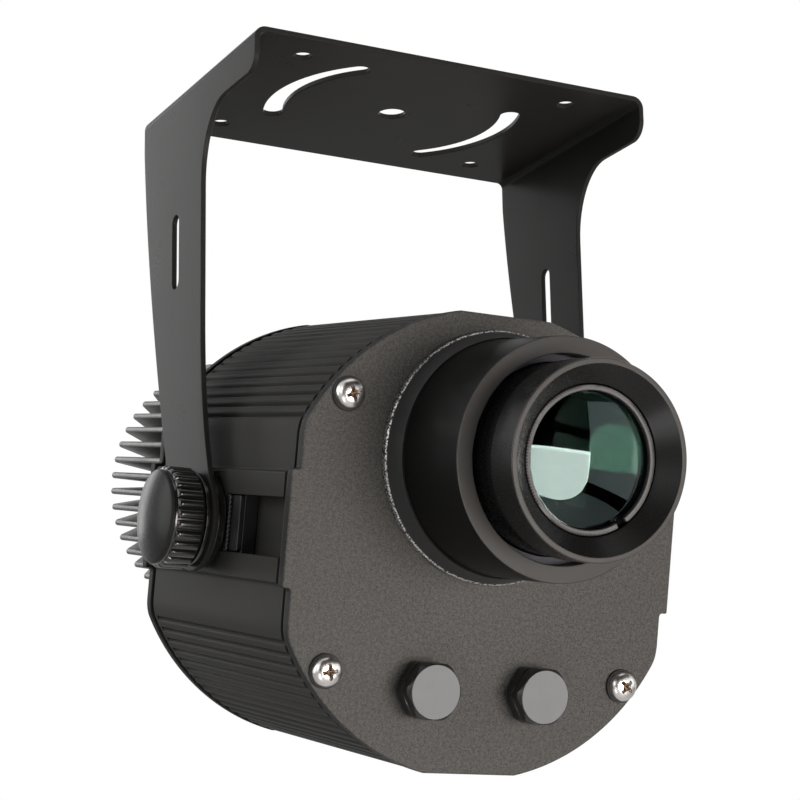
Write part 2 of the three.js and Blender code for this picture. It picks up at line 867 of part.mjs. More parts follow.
// Places along the barrel, from the plate's face. The lenses and the tube
// between them stand on the rear shoulder under the retaining ring.
const frontLensFront = -ringFront + ringThickness + seatGap;
const frontLensRear = frontLensFront + lensEdge;
const shoulderFront = barrelTail - lensSeat;
const rearLensFront = shoulderFront - seatGap - rearLensEdge;

function focusBarrel() {
  const headRear = -barrelReach + barrelHeadLength;
  const groove = sealGrooveWidth / 2;
  const grooveFloor = barrelRadius - sealGrooveDepth;
  return turnedY([
    [lensPocket - lensSeatWidth, barrelTail],
    [barrelRadius, barrelTail],
    [barrelRadius, -sealGrooveReach + groove],
    [grooveFloor, -sealGrooveReach + groove],
    [grooveFloor, -sealGrooveReach - groove],
    [barrelRadius, -sealGrooveReach - groove],
    [barrelRadius, headRear],
    [barrelHeadRadius, headRear],
    [barrelHeadRadius, -barrelReach + collarChamfer],
    [barrelHeadRadius - collarChamfer, -barrelReach],
    [barrelHeadRadius - barrelRim, -barrelReach],
    [lensPocket, -ringFront - seatGap],
    [lensPocket, shoulderFront],
    [lensPocket - lensSeatWidth, shoulderFront],
  ]);
}

function sealRing() {
  const groove = sealGrooveWidth / 2 - seatGap;
  const inner = barrelRadius - sealGrooveDepth + seatGap;
  const outer = barrelRadius + runningGap / 2;
  const middle = (inner + outer) / 2;
  return turnedY([[inner, 0], [middle, -groove], [outer, 0], [middle, groove]]);
}

// Half the profile of one lens face, from the axis out to the rim: a spherical
// crown as far as the clear radius, and a flat rim outside it.
function lensFace(radius, clear, crown, place, side) {
  const points = [];
  if (crown > 0) {
    const sphere = (clear ** 2 + crown ** 2) / (2 * crown);
    const span = Math.asin(clear / sphere);
    for (let i = 0; i <= profileSteps; i += 1) {
      const angle = (span * i) / profileSteps;
      const sag = crown - sphere * (1 - Math.cos(angle));
      points.push([sphere * Math.sin(angle), place + side * sag]);
    }
  } else {
    points.push([0, place]);
  }
  points.push([radius, place]);
  return points;
}

// Lens with its rim starting at y = 0. A face without a crown is flat.
function lens(radius, clear, edge, frontCrown, rearCrown) {
  return turnedY([
    ...lensFace(radius, clear, frontCrown, 0, -1),
    ...lensFace(radius, clear, rearCrown, edge, 1).reverse(),
  ], mediumFacets);
}

function retainingRing() {
  const front = -ringFront;
  const rear = front + ringThickness;
  const whole = tube(ringOuterRadius - ringWidth, ringOuterRadius, front, rear);
  const split = prismY(
    rectangle(ringOuterRadius * 2, ringSplit, ringOuterRadius),
    front - overrun,
    rear + overrun,
  );
  return cut(whole, split.rotate([0, -ringSplitAngle, 0]));
}

function tube(inner, outer, from, to, facets = mediumFacets) {
  return turnedY([[inner, from], [outer, from], [outer, to], [inner, to]], facets);
}

// Control cover: two stacked hexagons with turned edges, under a round face.
function controlCover() {
  const foot = -(sealWasherThickness + seatGap * 2);
  const top = -coverHeight;
  const split = foot + (top - foot) * coverGrooveShare;
  const blank = prismY(hexagon(coverFlats), top, foot);
  const turnedForm = turnedY([
    [0, foot],
    [coverCorners, foot],
    [coverCorners, split + coverGroove],
    [coverCorners - coverGroove * 2, split],
    [coverCorners, split - coverGroove],
    [coverCorners, top + coverChamfer],
    [coverFaceRadius, top],
    [0, top],
  ], mediumFacets);
  const hollow = prismY(circle(controlNutBore), top + coverTop, foot + overrun, smallFacets);
  return cut(blank.intersect(turnedForm), hollow);
}

function controlBody() {
  const rear = frontPlateThickness + seatGap;
  const body = joined(
    prismY(circle(controlBodyRadius), rear, rear + controlBodyDepth, smallFacets),
    prismY(circle(controlNeckRadius), -controlNeck, rear + seatGap, smallFacets),
  );
  const bore = prismY(
    circle(controlShaftBore),
    -controlNeck - overrun,
    rear + controlBodyDepth / 2,
    smallFacets,
  );
  return cut(body, bore);
}

function controlShaft() {
  const front = -controlNeck - controlShaftProud;
  const rear = frontPlateThickness + controlBodyDepth / 2 - seatGap;
  const slot = rectangle(controlShaftRadius * 3, controlSlot);
  return cut(
    prismY(circle(controlShaftRadius), front, rear, smallFacets),
    prismY(slot, front - overrun, front + controlSlot),
  );
}

// Heat sink: one closed outline of fins with rounded tips round a core.
function heatSink() {
  const front = rearPlateRear + seatGap;
  const rear = front + sinkLength;
  const outline = [];
  const shoulderRadius = sinkTipRadius - sinkFinThickness / 2;
  const root = Math.asin(sinkFinThickness / 2 / sinkCoreRadius);
  const shoulder = Math.asin(sinkFinThickness / 2 / shoulderRadius);
  for (let i = 0; i < sinkFins; i += 1) {
    const middle = (i * fullTurn) / sinkFins + radians(180 - sinkPhase);
    outline.push(polar(sinkCoreRadius, middle - root));
    outline.push(polar(shoulderRadius, middle - shoulder));
    outline.push(polar(sinkTipRadius, middle));
    outline.push(polar(shoulderRadius, middle + shoulder));
    outline.push(polar(sinkCoreRadius, middle + root));
  }
  return prismY(tracedOutline(outline), front, rear);
}

function emitter() {
  const foot = 0;
  const face = foot - emitterThickness;
  return joined(
    prismY(rectangle(emitterSide, emitterSide), face, foot),
    turnedY([
      [0, foot],
      [emitterDomeRadius, foot],
      [emitterDomeRadius, face],
      [emitterDomeRadius / 2, face - emitterDomeHeight],
      [0, face - emitterDomeHeight],
    ], smallFacets),
  );
}

// Toothed wheel outline with straight flanked teeth, its first tooth on +X.
function gearOutline(teeth, phase) {
  const pitchRadius = (gearModule * teeth) / 2;
  const tip = pitchRadius + gearModule;
  const root = pitchRadius - gearModule * 1.25;
  const pitch = fullTurn / teeth;
  const points = [];
  for (let i = 0; i < teeth; i += 1) {
    const middle = i * pitch + phase;
    points.push(polar(root, middle - pitch * 0.34));
    points.push(polar(tip, middle - pitch * 0.12));
    points.push(polar(tip, middle + pitch * 0.12));
    points.push(polar(root, middle + pitch * 0.34));
  }
  return tracedOutline(points);
}

// Gobo holder: a toothed ring with a hub that runs in the bearing, and a
// recess in front for the gobo and its clip.
const holderFront = stageFront - bearingFlange - seatGap * 2 - gearThickness;

function goboHolder() {
  const gearRear = holderFront + gearThickness;
  const recess = goboThickness + clipThickness + seatGap * 2;
  const shape = gearOutline(gearTeeth, -Math.PI / 2);
  return cut(
    joined(
      prismY(shape, holderFront, gearRear),
      prismY(circle(gearHubRadius), holderFront, stageRear - seatGap),
    ),
    prismY(circle(gearBore), holderFront - overrun, stageRear + overrun),
    prismY(circle(goboRadius + seatGap), holderFront - overrun, holderFront + recess),
  );
}

// Gobo: a thin disc with a ring of plain wedge shaped windows.
function gobo() {
  const front = holderFront + clipThickness + seatGap;
  const shape = circle(goboRadius);
  const half = radians(goboWindowSpan) / 2;
  for (let i = 0; i < goboWindows; i += 1) {
    const middle = (i * fullTurn) / goboWindows;
    shape.holes.push(tracedOutline([
      polar(goboWindowOuterRadius, middle - half),
      polar(goboWindowOuterRadius, middle),
      polar(goboWindowOuterRadius, middle + half),
      polar(goboWindowInnerRadius, middle + half),
      polar(goboWindowInnerRadius, middle - half),
    ]));
  }
  return prismY(shape, front, front + goboThickness);
}

function stagePlate() {
  const plate = prismY(cavityOutline(seatGap), stageFront, stageRear, arcFacets);
  const front = stageFront - overrun;
  const rear = stageRear + overrun;
  return cut(
    plate,
    prismY(circle(bearingRadius + seatGap, 0, lensRise), front, rear),
    prismY(circle(pinionShaftRadius + runningGap, 0, pinionRise), front, rear, smallFacets),
    ...fourCorners(screwSide, screwRise).map(([x, z]) =>
      prismY(circle(bossRadius + seatGap, x, z), front, rear, smallFacets),
    ),
  );
}

function stageBearing() {
  return turnedY([
    [bearingBore, stageFront - seatGap - bearingFlange],
    [bearingFlangeRadius, stageFront - seatGap - bearingFlange],
    [bearingFlangeRadius, stageFront - seatGap],
    [bearingRadius, stageFront - seatGap],
    [bearingRadius, stageRear],
    [bearingBore, stageRear],
  ], mediumFacets);
}

function motor() {
  const front = stageRear + seatGap;
  const ears = joined(
    ...[-motorEarReach, motorEarReach].map((x) =>
      prismY(circle(motorEarRadius, x, 0), front, front + motorEarThickness, smallFacets),
    ),
    prismY(
      rectangle(motorEarReach * 2, motorEarRadius * 2),
      front,
      front + motorEarThickness,
    ),
  );
  return cut(
    joined(prismY(circle(motorRadius), front, front + motorLength), ears),
    prismY(
      circle(pinionShaftRadius + runningGap),
      front - overrun,
      front + motorLength / 2,
      smallFacets,
    ),
  );
}

function pinion() {
  const front = holderFront - (pinionThickness - gearThickness) / 2;
  const rear = stageRear + motorLength / 2 - seatGap;
  const phase = Math.PI / 2 + Math.PI / pinionTeeth;
  return joined(
    prismY(gearOutline(pinionTeeth, phase), front, front + pinionThickness),
    prismY(circle(pinionShaftRadius), front, rear, smallFacets),
  );
}

// Condenser tube: a flanged tube whose bore is narrower between the lenses,
// so that the flat side of each lens seats on a step.
function condenserTube() {
  const front = stageRear + seatGap;
  const rear = condenserTubeRear;
  const narrow = tubeBore - condenserSeat;
  const frontStep = frontCondenserPlace + condenserEdge + seatGap;
  const rearStep = rearCondenserPlace - seatGap;
  return turnedY([
    [tubeBore, front],
    [tubeFlangeRadius, front],
    [tubeFlangeRadius, front + tubeFlange],
    [tubeRadius, front + tubeFlange],
    [tubeRadius, rear],
    [tubeBore, rear],
    [tubeBore, rearStep],
    [narrow, rearStep],
    [narrow, frontStep],
    [tubeBore, frontStep],
  ], mediumFacets);
}

// Driver board with its coil, capacitors and terminal strip.
function driverBoard() {
  const foot = cavityFloor + boardRise;
  const top = foot + boardThickness;
  const place = (driverFront + driverRear) / 2;
  const depth = driverRear - driverFront;
  const quarter = driverWidth / 4;
  return joined(
    prismZ(rectangle(driverWidth - trayWall * 4, depth, 0, place), foot, top),
    prismZ(rectangle(coilSide, coilSide, 0, place), foot, top + coilHeight),
    prismZ(circle(capacitorRadius, quarter, place), foot, top + capacitorHeight, smallFacets),
    prismZ(circle(capacitorRadius, -quarter, place), foot, top + capacitorHeight, smallFacets),
    prismZ(
      rectangle(terminalWidth, terminalDepth, 0, driverRear - terminalDepth),
      foot,
      top + terminalHeight,
    ),
  );
}

// Tray that stands on the cavity floor and holds the board along its edges.
function driverTray() {
  const low = cavityFloor + seatGap * 2;
  const high = cavityFloor + boardRise - seatGap;
  const half = driverWidth / 2 - seatGap;
  const section = tracedOutline([
    [-half, low],
    [half, low],
    [half, high],
    [half - trayWall * 3, high],
    [half - trayWall * 3, high - trayWall],
    [half - trayWall, high - trayWall],
    [half - trayWall, low + trayWall],
    [-half + trayWall, low + trayWall],
    [-half + trayWall, high - trayWall],
    [-half + trayWall * 3, high - trayWall],
    [-half + trayWall * 3, high],
    [-half, high],
  ]);
  return prismY(section, driverFront, driverRear);
}

// Cable gland in the rear plate, its bore open to the outside.
function cableGland() {
  const seat = seatGap;
  const hexTop = seat + glandHexHeight;
  const nutTop = hexTop + glandNutHeight;
  const shell = joined(
    prismY(circle(glandThreadRadius), -rearPlateThickness - glandTail, hexTop, smallFacets),
    prismY(hexagon(glandFlats), seat, hexTop),
    turnedY([
      [0, hexTop - seatGap],
      [glandNutRadius, hexTop - seatGap],
      [glandNutRadius, nutTop - glandNutHeight / 3],
      [glandNutRadius * 0.7, nutTop],
      [0, nutTop],
    ], smallFacets),
  );
  const bore = prismY(
    circle(glandBore),
    -rearPlateThickness - glandTail - overrun,
    nutTop + overrun,
    smallFacets,
  );
  return cut(shell, bore);
}

function ventPlug() {
  const seat = seatGap;
  const top = seat + ventHeadHeight;
  return turnedY([
    [0, -rearPlateThickness - glandTail],
    [ventRadius, -rearPlateThickness - glandTail],
    [ventRadius, seat],
    [ventHeadRadius, seat],
    [ventHeadRadius, top - ventHeadHeight / 3],
    [ventHeadRadius * 0.8, top],
    [0, top],
  ], smallFacets);
}

// Assembly.
function node(name, manifold, material, position = [0, 0, 0], rotation = [0, 0, 0]) {
  const mesh = new THREE.Mesh(geometryOf(manifold), material);
  mesh.name = name;
  mesh.position.set(...position);
  mesh.rotation.set(...rotation);
  return mesh;
}

const projector = new THREE.Group();
projector.add(node('hanging_bracket', hangingBracket(), bracketPaint));

const pivotPlace = [0, pivotSetback, -pivotDrop];
const halfTurn = [0, 0, Math.PI];

// Knobs, on each side of the bracket. The left one is the right one turned
// half round about the vertical.
const knobs = new THREE.Group();
knobs.position.set(...pivotPlace);
const knobFoot = halfSpan + seatGap + knobWasherThickness + seatGap;
const studReach = knobFoot - (earReach - railFloorDepth + seatGap + studTipRecess);
for (const [side, sign, turn] of [['left', -1, halfTurn], ['right', 1, [0, 0, 0]]]) {
  const foot = [sign * knobFoot, 0, 0];
  const washer = ring(
    studRadius + runningGap,
    knobWasherRadius,
    halfSpan + seatGap,
    halfSpan + seatGap + knobWasherThickness,
  );
  knobs.add(node(`${side}_knob_washer`, washer, blackPlastic, [0, 0, 0], turn));
  knobs.add(node(`${side}_clamp_knob`, knobBody(), blackPlastic, foot, turn));
  knobs.add(node(`${side}_knob_cap`, knobCap(), greyCap, foot, turn));
  knobs.add(node(`${side}_clamp_stud`, knobStud(studReach), steel, foot, turn));
}
projector.add(knobs);

// What turns with the head but stays on the pivot when the head slides.
const trunnion = new THREE.Group();
trunnion.position.set(...pivotPlace);
trunnion.rotation.x = radians(headPitch);
for (const [side, turn] of [['left', halfTurn], ['right', [0, 0, 0]]]) {
  const disc = ring(
    studRadius + runningGap,
    spacerRadius,
    earReach + seatGap,
    halfSpan - sheetThickness - seatGap,
  );
  trunnion.add(node(`${side}_slide_block`, slideBlock(), darkSteel, [0, 0, 0], turn));
  trunnion.add(node(`${side}_lock_plate`, lockPlate(), steel, [0, 0, 0],
    side === 'left' ? [Math.PI, 0, Math.PI] : turn));
  trunnion.add(node(`${side}_spacer_disc`, disc, blackPlastic, [0, 0, 0], turn));
}

const head = new THREE.Group();
head.add(node('housing_extrusion', housing(), housingPaint));
head.add(node('front_plate', frontPlate(), plateTexture));
head.add(node('front_gasket', gasket(frontGasketFront), rubber));
head.add(node('rear_plate', rearPlate(), plateTexture));
head.add(node('rear_gasket', gasket(rearGasketFront), rubber));

const cornerNames = ['upper_left', 'upper_right', 'lower_left', 'lower_right'];
fourCorners(screwSide, screwRise).forEach(([x, z], i) => {
  const corner = cornerNames[i];
  head.add(node(`front_screw_${corner}`, caseScrew(), steel, [x, plateFront, z]));
  head.add(node(`rear_screw_${corner}`, caseScrew(), steel, [x, rearPlateRear, z], halfTurn));
});

const lensPlace = [0, plateFront, lensRise];
const pocketRadius = lensPocket - seatGap;
const clearRadius = ringOuterRadius - ringWidth - seatGap;
head.add(node('lens_collar', lensCollar(), blackAnodised, lensPlace));
head.add(node('focus_seal_ring', sealRing(), rubber,
  [0, plateFront - sealGrooveReach, lensRise]));
head.add(node('focus_barrel', focusBarrel(), barrelPaint, lensPlace));
head.add(node('lens_retaining_ring', retainingRing(), steel, lensPlace));
head.add(node('front_lens',
  lens(pocketRadius, clearRadius, lensEdge, lensFrontCrown, lensRearCrown),
  lensGlass, [0, plateFront + frontLensFront, lensRise]));
head.add(node('lens_spacer_tube',
  tube(pocketRadius - spacerTubeWall, pocketRadius, frontLensRear + seatGap,
    rearLensFront - seatGap), blackAnodised, lensPlace));
head.add(node('rear_lens', lens(pocketRadius, clearRadius, rearLensEdge, rearLensCrown, 0),
  lensGlass, [0, plateFront + rearLensFront, lensRise]));

for (const [side, x] of [['left', -coverSide], ['right', coverSide]]) {
  const place = [x, plateFront, coverRise];
  const washer = tube(controlNutBore, sealWasherRadius, -seatGap - sealWasherThickness, -seatGap,
    smallFacets);
  head.add(node(`${side}_cover_seal`, washer, rubber, place));
  head.add(node(`${side}_control_cover`, controlCover(), blackPlastic, place));
  head.add(node(`${side}_control_body`, controlBody(), motorSteel, place));
  head.add(node(`${side}_control_shaft`, controlShaft(), brass, place));
}

head.add(node('heat_sink', heatSink(), sinkAluminium, [0, 0, sinkRise]));
const ledPlate = prismY(rectangle(boardSide, boardSide), boardFront, boardRear);
head.add(node('led_board', ledPlate, whiteBoard, [0, 0, lensRise]));
head.add(node('led_emitter', emitter(), emitterYellow,
  [0, boardFront - seatGap, lensRise]));

const onAxis = [0, 0, lensRise];
head.add(node('gobo_stage_plate', stagePlate(), darkSteel));
head.add(node('gobo_bearing', stageBearing(), brass, onAxis));
head.add(node('gobo_holder_gear', goboHolder(), gearPlastic, onAxis));
head.add(node('gobo_disc', gobo(), steel, onAxis));
head.add(node('gobo_clip_ring',
  tube(goboRadius - clipWidth, goboRadius, holderFront, holderFront + clipThickness),
  steel, onAxis));
head.add(node('gobo_motor', motor(), motorSteel, [0, 0, pinionRise]));
head.add(node('motor_pinion', pinion(), brass, [0, 0, pinionRise]));
head.add(node('condenser_tube', condenserTube(), blackAnodised, onAxis));
const condenserRadius = tubeBore - seatGap;
const condenserClear = condenserRadius - condenserSeat;
head.add(node('front_condenser_lens',
  lens(condenserRadius, condenserClear, condenserEdge, condenserCrown, 0),
  lensGlass, [0, frontCondenserPlace, lensRise]));
head.add(node('rear_condenser_lens',
  lens(condenserRadius, condenserClear, condenserEdge, 0, condenserCrown),
  lensGlass, [0, rearCondenserPlace, lensRise]));
head.add(node('driver_tray', driverTray(), blackPlastic));
head.add(node('driver_board', driverBoard(), circuitBoard));
head.add(node('cable_gland', cableGland(), blackPlastic, [glandSide, rearPlateRear, glandRise]));
head.add(node('vent_plug', ventPlug(), blackPlastic, [ventSide, rearPlateRear, glandRise]));
trunnion.add(head);
projector.add(trunnion);

export default projector;
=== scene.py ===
"""Gobo projector in its hanging bracket.

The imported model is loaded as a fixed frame, and every visible piece is built
over it. Sizes are in millimetres until a mesh is made. The head is drawn
level: x to the right, y from its front plate to its heat sink, z up, about the
pivot axis. in_pose() turns it into the frame's pose.
"""

import json
import math

import bmesh
import bpy
import numpy as np
from bpy.props import FloatProperty, FloatVectorProperty, IntProperty, PointerProperty
from mathutils import Matrix, Vector
from mathutils.geometry import tessellate_polygon


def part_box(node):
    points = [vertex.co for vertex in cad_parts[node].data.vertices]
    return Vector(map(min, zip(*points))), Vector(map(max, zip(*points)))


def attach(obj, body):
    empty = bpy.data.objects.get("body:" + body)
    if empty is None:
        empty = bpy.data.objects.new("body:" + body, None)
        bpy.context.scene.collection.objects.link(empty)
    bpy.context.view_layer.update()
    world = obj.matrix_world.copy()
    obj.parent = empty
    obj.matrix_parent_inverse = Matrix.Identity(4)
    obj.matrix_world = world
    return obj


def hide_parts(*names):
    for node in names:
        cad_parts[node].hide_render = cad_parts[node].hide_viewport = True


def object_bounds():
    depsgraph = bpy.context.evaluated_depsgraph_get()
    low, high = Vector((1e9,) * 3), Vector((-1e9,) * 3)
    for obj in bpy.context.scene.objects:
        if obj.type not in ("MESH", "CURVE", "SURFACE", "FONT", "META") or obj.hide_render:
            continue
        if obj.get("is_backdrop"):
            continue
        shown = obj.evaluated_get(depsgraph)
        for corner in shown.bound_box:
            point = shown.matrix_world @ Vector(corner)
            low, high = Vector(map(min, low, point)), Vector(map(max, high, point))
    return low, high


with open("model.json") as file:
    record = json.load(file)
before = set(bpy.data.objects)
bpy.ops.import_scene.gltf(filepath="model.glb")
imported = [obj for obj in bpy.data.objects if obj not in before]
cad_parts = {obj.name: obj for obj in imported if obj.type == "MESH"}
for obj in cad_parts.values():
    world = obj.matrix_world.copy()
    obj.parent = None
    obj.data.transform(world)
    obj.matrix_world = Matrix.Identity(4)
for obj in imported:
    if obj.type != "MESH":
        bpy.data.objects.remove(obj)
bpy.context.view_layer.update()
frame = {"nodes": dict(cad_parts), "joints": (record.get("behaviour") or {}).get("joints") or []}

bl_info = {
    "name": "Gobo projector",
    "version": (1, 0, 0),
    "blender": (4, 5, 0),
    "location": "3D View > Sidebar > Projector",
    "description": "Builds a gobo projector in its hanging bracket",
    "category": "Object",
}

MM = 0.001  # metres in a millimetre
WELD = 0.000001  # metres within which two points are one
TURN = math.tau
SIDES = (("left", -1), ("right", 1))
CORNERS = ("upper_left", "upper_right", "lower_left", "lower_right")

# Axes of the head in its pose, from the joints.
JOINTS = {joint["name"]: joint for joint in frame["joints"]}
PIVOT = np.array(JOINTS["head_tilt"]["pos_m"]) / MM
BACK = np.array(JOINTS["balance_slide"]["axis"])
SIDEWAYS = np.array([1.0, 0.0, 0.0])
RISE = np.cross(SIDEWAYS, BACK)
HEAD = np.stack([SIDEWAYS, BACK, RISE])


def in_pose(points):
    """Head points turned about the pivot into the frame's pose."""
    return points @ HEAD + PIVOT


def level(points):
    """Points of the frame turned back into the level head."""
    return (np.asarray(points) - PIVOT) @ HEAD.T


def mesh_points(mesh):
    """Every corner of a mesh, in millimetres."""
    flat = np.empty(len(mesh.vertices) * 3)
    mesh.vertices.foreach_get("co", flat)
    return flat.reshape(-1, 3) / MM


def level_box(name):
    """Lowest and highest corner of a CAD node in the level head."""
    points = level(mesh_points(frame["nodes"][name].data))
    return points.min(0), points.max(0)


def box_centre(name):
    """Middle (x, z) of a CAD node in the level head."""
    low, high = level_box(name)
    return (low[0] + high[0]) / 2, (low[2] + high[2]) / 2


def joint_place(name):
    """A joint's place in the level head."""
    return level(np.array(JOINTS[name]["pos_m"]) / MM)


# Places taken from the CAD.
PLATE_FRONT, PLATE_REAR = (corner[1] for corner in level_box("front_plate"))
REAR_PLATE_FRONT, REAR_PLATE_REAR = (corner[1] for corner in level_box("rear_plate"))
HOUSING_FRONT, HOUSING_REAR = (corner[1] for corner in level_box("housing_extrusion"))
LENS_RISE = joint_place("focus_turn")[2]
LENS_AXIS = (0.0, LENS_RISE)

# Bracket.
SHEET = 2.0
BRACKET_SPAN = 165.4  # over the outer faces of the arms
BRACKET_DEPTH = 106.0
BEND_INSIDE = 2.5
BEND_STEPS = 10
PIVOT_DROP = 170.0
PIVOT_SETBACK = 1.1
ARM_END = 18.5  # radius of the arm's round end
ARM_FRONT = -4.6
NECK_DROP = 95.0  # where the arm's front edge starts to swell
SWELL_DROP = 135.0
NECK_ANGLE = 142.0
SHOULDER_DROP = 16.3
SHOULDER_CORNER = 7.0
SWEEP = (20.4, 28.0)  # width and height of the sweep from shoulder to arm
BACK_STRAIGHT = 14.0
BACK_KNEE = (47.3, 82.7)  # control point of the arm's rear edge
ARM_SLOT_WIDTH = 6.0
ARM_SLOT = (20.1, 49.5, 78.5)  # setback, drop of its upper and lower end
CENTRE_HOLE = 5.2
CORNER_HOLE = 3.25
CORNER_HOLE_PLACE = (56.6, 37.7)
CURVED_SLOT = (46.7, 7.5, 12.3, 70.6)  # radius, width, middle and sweep in degrees

# Knobs and what they clamp.
KNOB_VALLEY = 17.0  # radius between the bars
KNOB_DEPTH = 1.3
KNOB_END = 1.6  # length of a bar's rounded end
KNOB_FOOT_END = 0.4  # share of that length at the foot
KNOB_CAP = 16.95
KNOB_BACK = 1.0
KNOB_BAR = 0.84  # share of the pitch that a bar takes
STUD_RADIUS = 3.9
STUD_PITCH = 1.25
STUD_DEPTH = 0.45
STUD_BORE = STUD_RADIUS + 0.4
KNOB_WASHER = 16.8
SPACER = 16.9
BLOCK_LENGTH = 47.8
RAIL_FOOT_HALF = 13.9
RAIL_STEM_HALF = 9.9
LIP_INNER = 73.6
LOCK_TEETH = 12
LOCK_END = 17.0

# Housing and plates.
OUTLINE_RADIUS = 82.0
FLAT_TOP = 80.0
FLAT_SIDE = 73.8
EAR_REACH = 76.9
EAR_HALF = 20.0
EAR_CORNER = 1.6
PLATE_INSET = 0.3
GASKET_INSET = 0.9
RAIL_HALF = 18.9
RIBS = 16
RIB_START = 34.6  # height at which the ribs begin
RIB_STEPS = 14
RIB_LEAN = 0.35  # height of a rib's slant
CAVITY_RADIUS = 75.4
CAVITY_SIDE = 65.7
BOSS_RADIUS = 6.2
RAIL_MOUTH_HALF = 10.2
RAIL_LIP_FACE = 73.9
RAIL_UNDERCUT_HALF = 14.2
RAIL_FLOOR = 68.1
SCREW_PLACE = (58.9, 46.8)
SCREW_HOLE = 3.0
COVER_NECK_HOLE = 5.2
GLAND_HOLE = 8.0
VENT_HOLE = 6.0
SOFT_SWEEP = 0.06  # angle by which the case's soft corner runs past its side
SOFT_DEPTH = 1.8

# Case screws.
SCREW_SHANK = 2.6
SCREW_LENGTH = 20.0
SCREW_HEAD = 5.4
SCREW_HEAD_HEIGHT = 3.4
SCREW_STEP = 0.7  # angle between the recesses of two screws
RECESS_EDGE = 3.2  # radius of the finely divided middle of the head
RECESS_REACH = 2.75
RECESS_DEPTH = 1.9
WASHER = 6.0
WASHER_HEIGHT = 1.2

# Lens.
COLLAR_FLANGE = 44.4
COLLAR_TUBE = 41.2
COLLAR_CONE = 41.7
COLLAR_BORE = 35.2
COLLAR_SPIGOT = 37.6
COLLAR_REACH = 47.2
COLLAR_TAIL = 5.7
COLLAR_SEAT = 0.3
FLANGE_FACE = 2.8
CONE_END = 10.0
MOUTH_DEPTH = 8.4
BARREL = 32.2
BARREL_BORE = BARREL + 0.4
BARREL_HEAD = 33.3
BARREL_HEAD_LENGTH = 13.8
BARREL_REACH = 69.2
BARREL_TAIL = 6.0
BARREL_RIM = 1.8
SEAL_GROOVE = (32.6, 35.4, 2.1)  # start, end and depth
LENS_POCKET = 25.0
POCKET_END = 3.6
POCKET_STOP = 2.4
LENS_RIM = 2.2  # ground edge outside a lens's clear face
RING_FRONT = 63.1
RING_MIDDLE = 23.6
RING_OUTER = 24.7
RING_WIDTH = 1.9
RING_THICKNESS = 1.8
RING_GAP = (305.0, 3.2)  # angle in degrees and width
RING_NOTCHES = 150
RING_STEPS = 720

# Covers.
COVER_FLATS = 19.2
COVER_CORNER = 10.15
COVER_FACE = 9.3
COVER_BORE = 5.4
COVER_SEAL = 8.9
COVER_STEPS = 144

# Heat sink.
SINK_TIP = 55.2
SINK_CORE = 31.0
SINK_FINS = 50
FIN = 2.7
SINK_PHASE = 1.3

# Rear fittings.
GLAND_HALF_FLATS = 10.0
GLAND_RIBS = 18
VENT_RIBS = 12
VENT_STEPS = 108

# Stage, in metres and degrees.
MIDDLE = (0.0, -0.03, -0.17)  # what the lamps face
FLOOR_HALF = 40.0
FLOOR_SHARE = 0.65  # how much of the floor's look is plain white
FLAG = ((-45.0, 80.0), (-45.0, 55.0), 2.4)  # azimuths, elevations, radius
WINDOW = (11.5, -18.5, 1.2, (0.68, 0.47), (1.08, 1.0, 0.95))
LAMP_SPREAD = 110
LAMPS = (  # name, azimuth, elevation, distance, size, brightness
    ("Left lamp", -62.0, 12.0, 1.5, (0.7, 1.0), 0.9),
    ("Side lamp", -115.0, 16.0, 1.5, (1.0, 1.0), 2.4),
    ("Low lamp", -43.0, -40.0, 0.9, (0.1, 0.35), 5.0),
    ("Right lamp", 65.0, 10.0, 1.6, (0.6, 1.0), 0.8),
    ("Top lamp", 10.0, 75.0, 1.6, (1.0, 1.0), 0.2),
    ("Front lamp", 43.0, 0.0, 1.4, (0.8, 0.9), 0.62),
    ("Rear lamp", -166.0, 19.0, 1.7, (0.5, 0.75), 1.4),
    ("Back lamp", 130.0, 28.0, 1.7, (0.9, 0.9), 1.6),
)


# Outlines and surfaces -----------------------------------------------------


def polar(radius, angle):
    """Points at a radius and an angle in radians."""
    return np.stack([radius * np.cos(angle), radius * np.sin(angle)], -1)


def around(steps):
    """Angles of a full turn."""
    return np.arange(steps) * TURN / steps


def arc(radius, start, end, steps):
    """Points of a circle between two angles."""
    return polar(np.full(steps, radius), np.linspace(start, end, steps))


def circle(radius, steps=48, centre=(0.0, 0.0)):
    """A circle, drawn clockwise as a hole is."""
    return polar(np.full(steps, radius), -around(steps)) + centre


def between(start, control, end, t):
    """Quadratic curve (1-t)^2 A + 2t(1-t) C + t^2 B."""
    return (1 - t) ** 2 * start + 2 * t * (1 - t) * control + t ** 2 * end


def rounded(points, radii, steps=6):
    """A closed outline whose corners are quadratic curves.

    The curve at corner C runs between A and B, which lie one radius from it
    along its two sides.
    """
    corner = np.asarray(points, float)
    before = np.roll(corner, 1, 0) - corner
    after = np.roll(corner, -1, 0) - corner
    near = np.linalg.norm(before, axis=1)
    far = np.linalg.norm(after, axis=1)
    reach = np.minimum(np.broadcast_to(radii, near.shape), 0.48 * np.minimum(near, far))
    start = (corner + before * (reach / near)[:, None])[:, None]
    end = (corner + after * (reach / far)[:, None])[:, None]
    t = np.linspace(0, 1, steps)[None, :, None]
    return between(start, corner[:, None], end, t).reshape(-1, 2)


def distinct(outline, least=0.0005):
    """Which points of an outline don't repeat the one before."""
    return np.linalg.norm(outline - np.roll(outline, 1, 0), axis=1) > least


def signed_area(loop):
    """Area of an outline, negative where it runs clockwise."""
    x, y = loop.T
    return ((x * np.roll(y, -1) - np.roll(x, -1) * y).sum()) / 2


def reworked(mesh, work_on):
    """Runs a function over a mesh's bmesh."""
    work = bmesh.new()
    work.from_mesh(mesh)
    work_on(work)
    work.to_mesh(mesh)
    work.free()


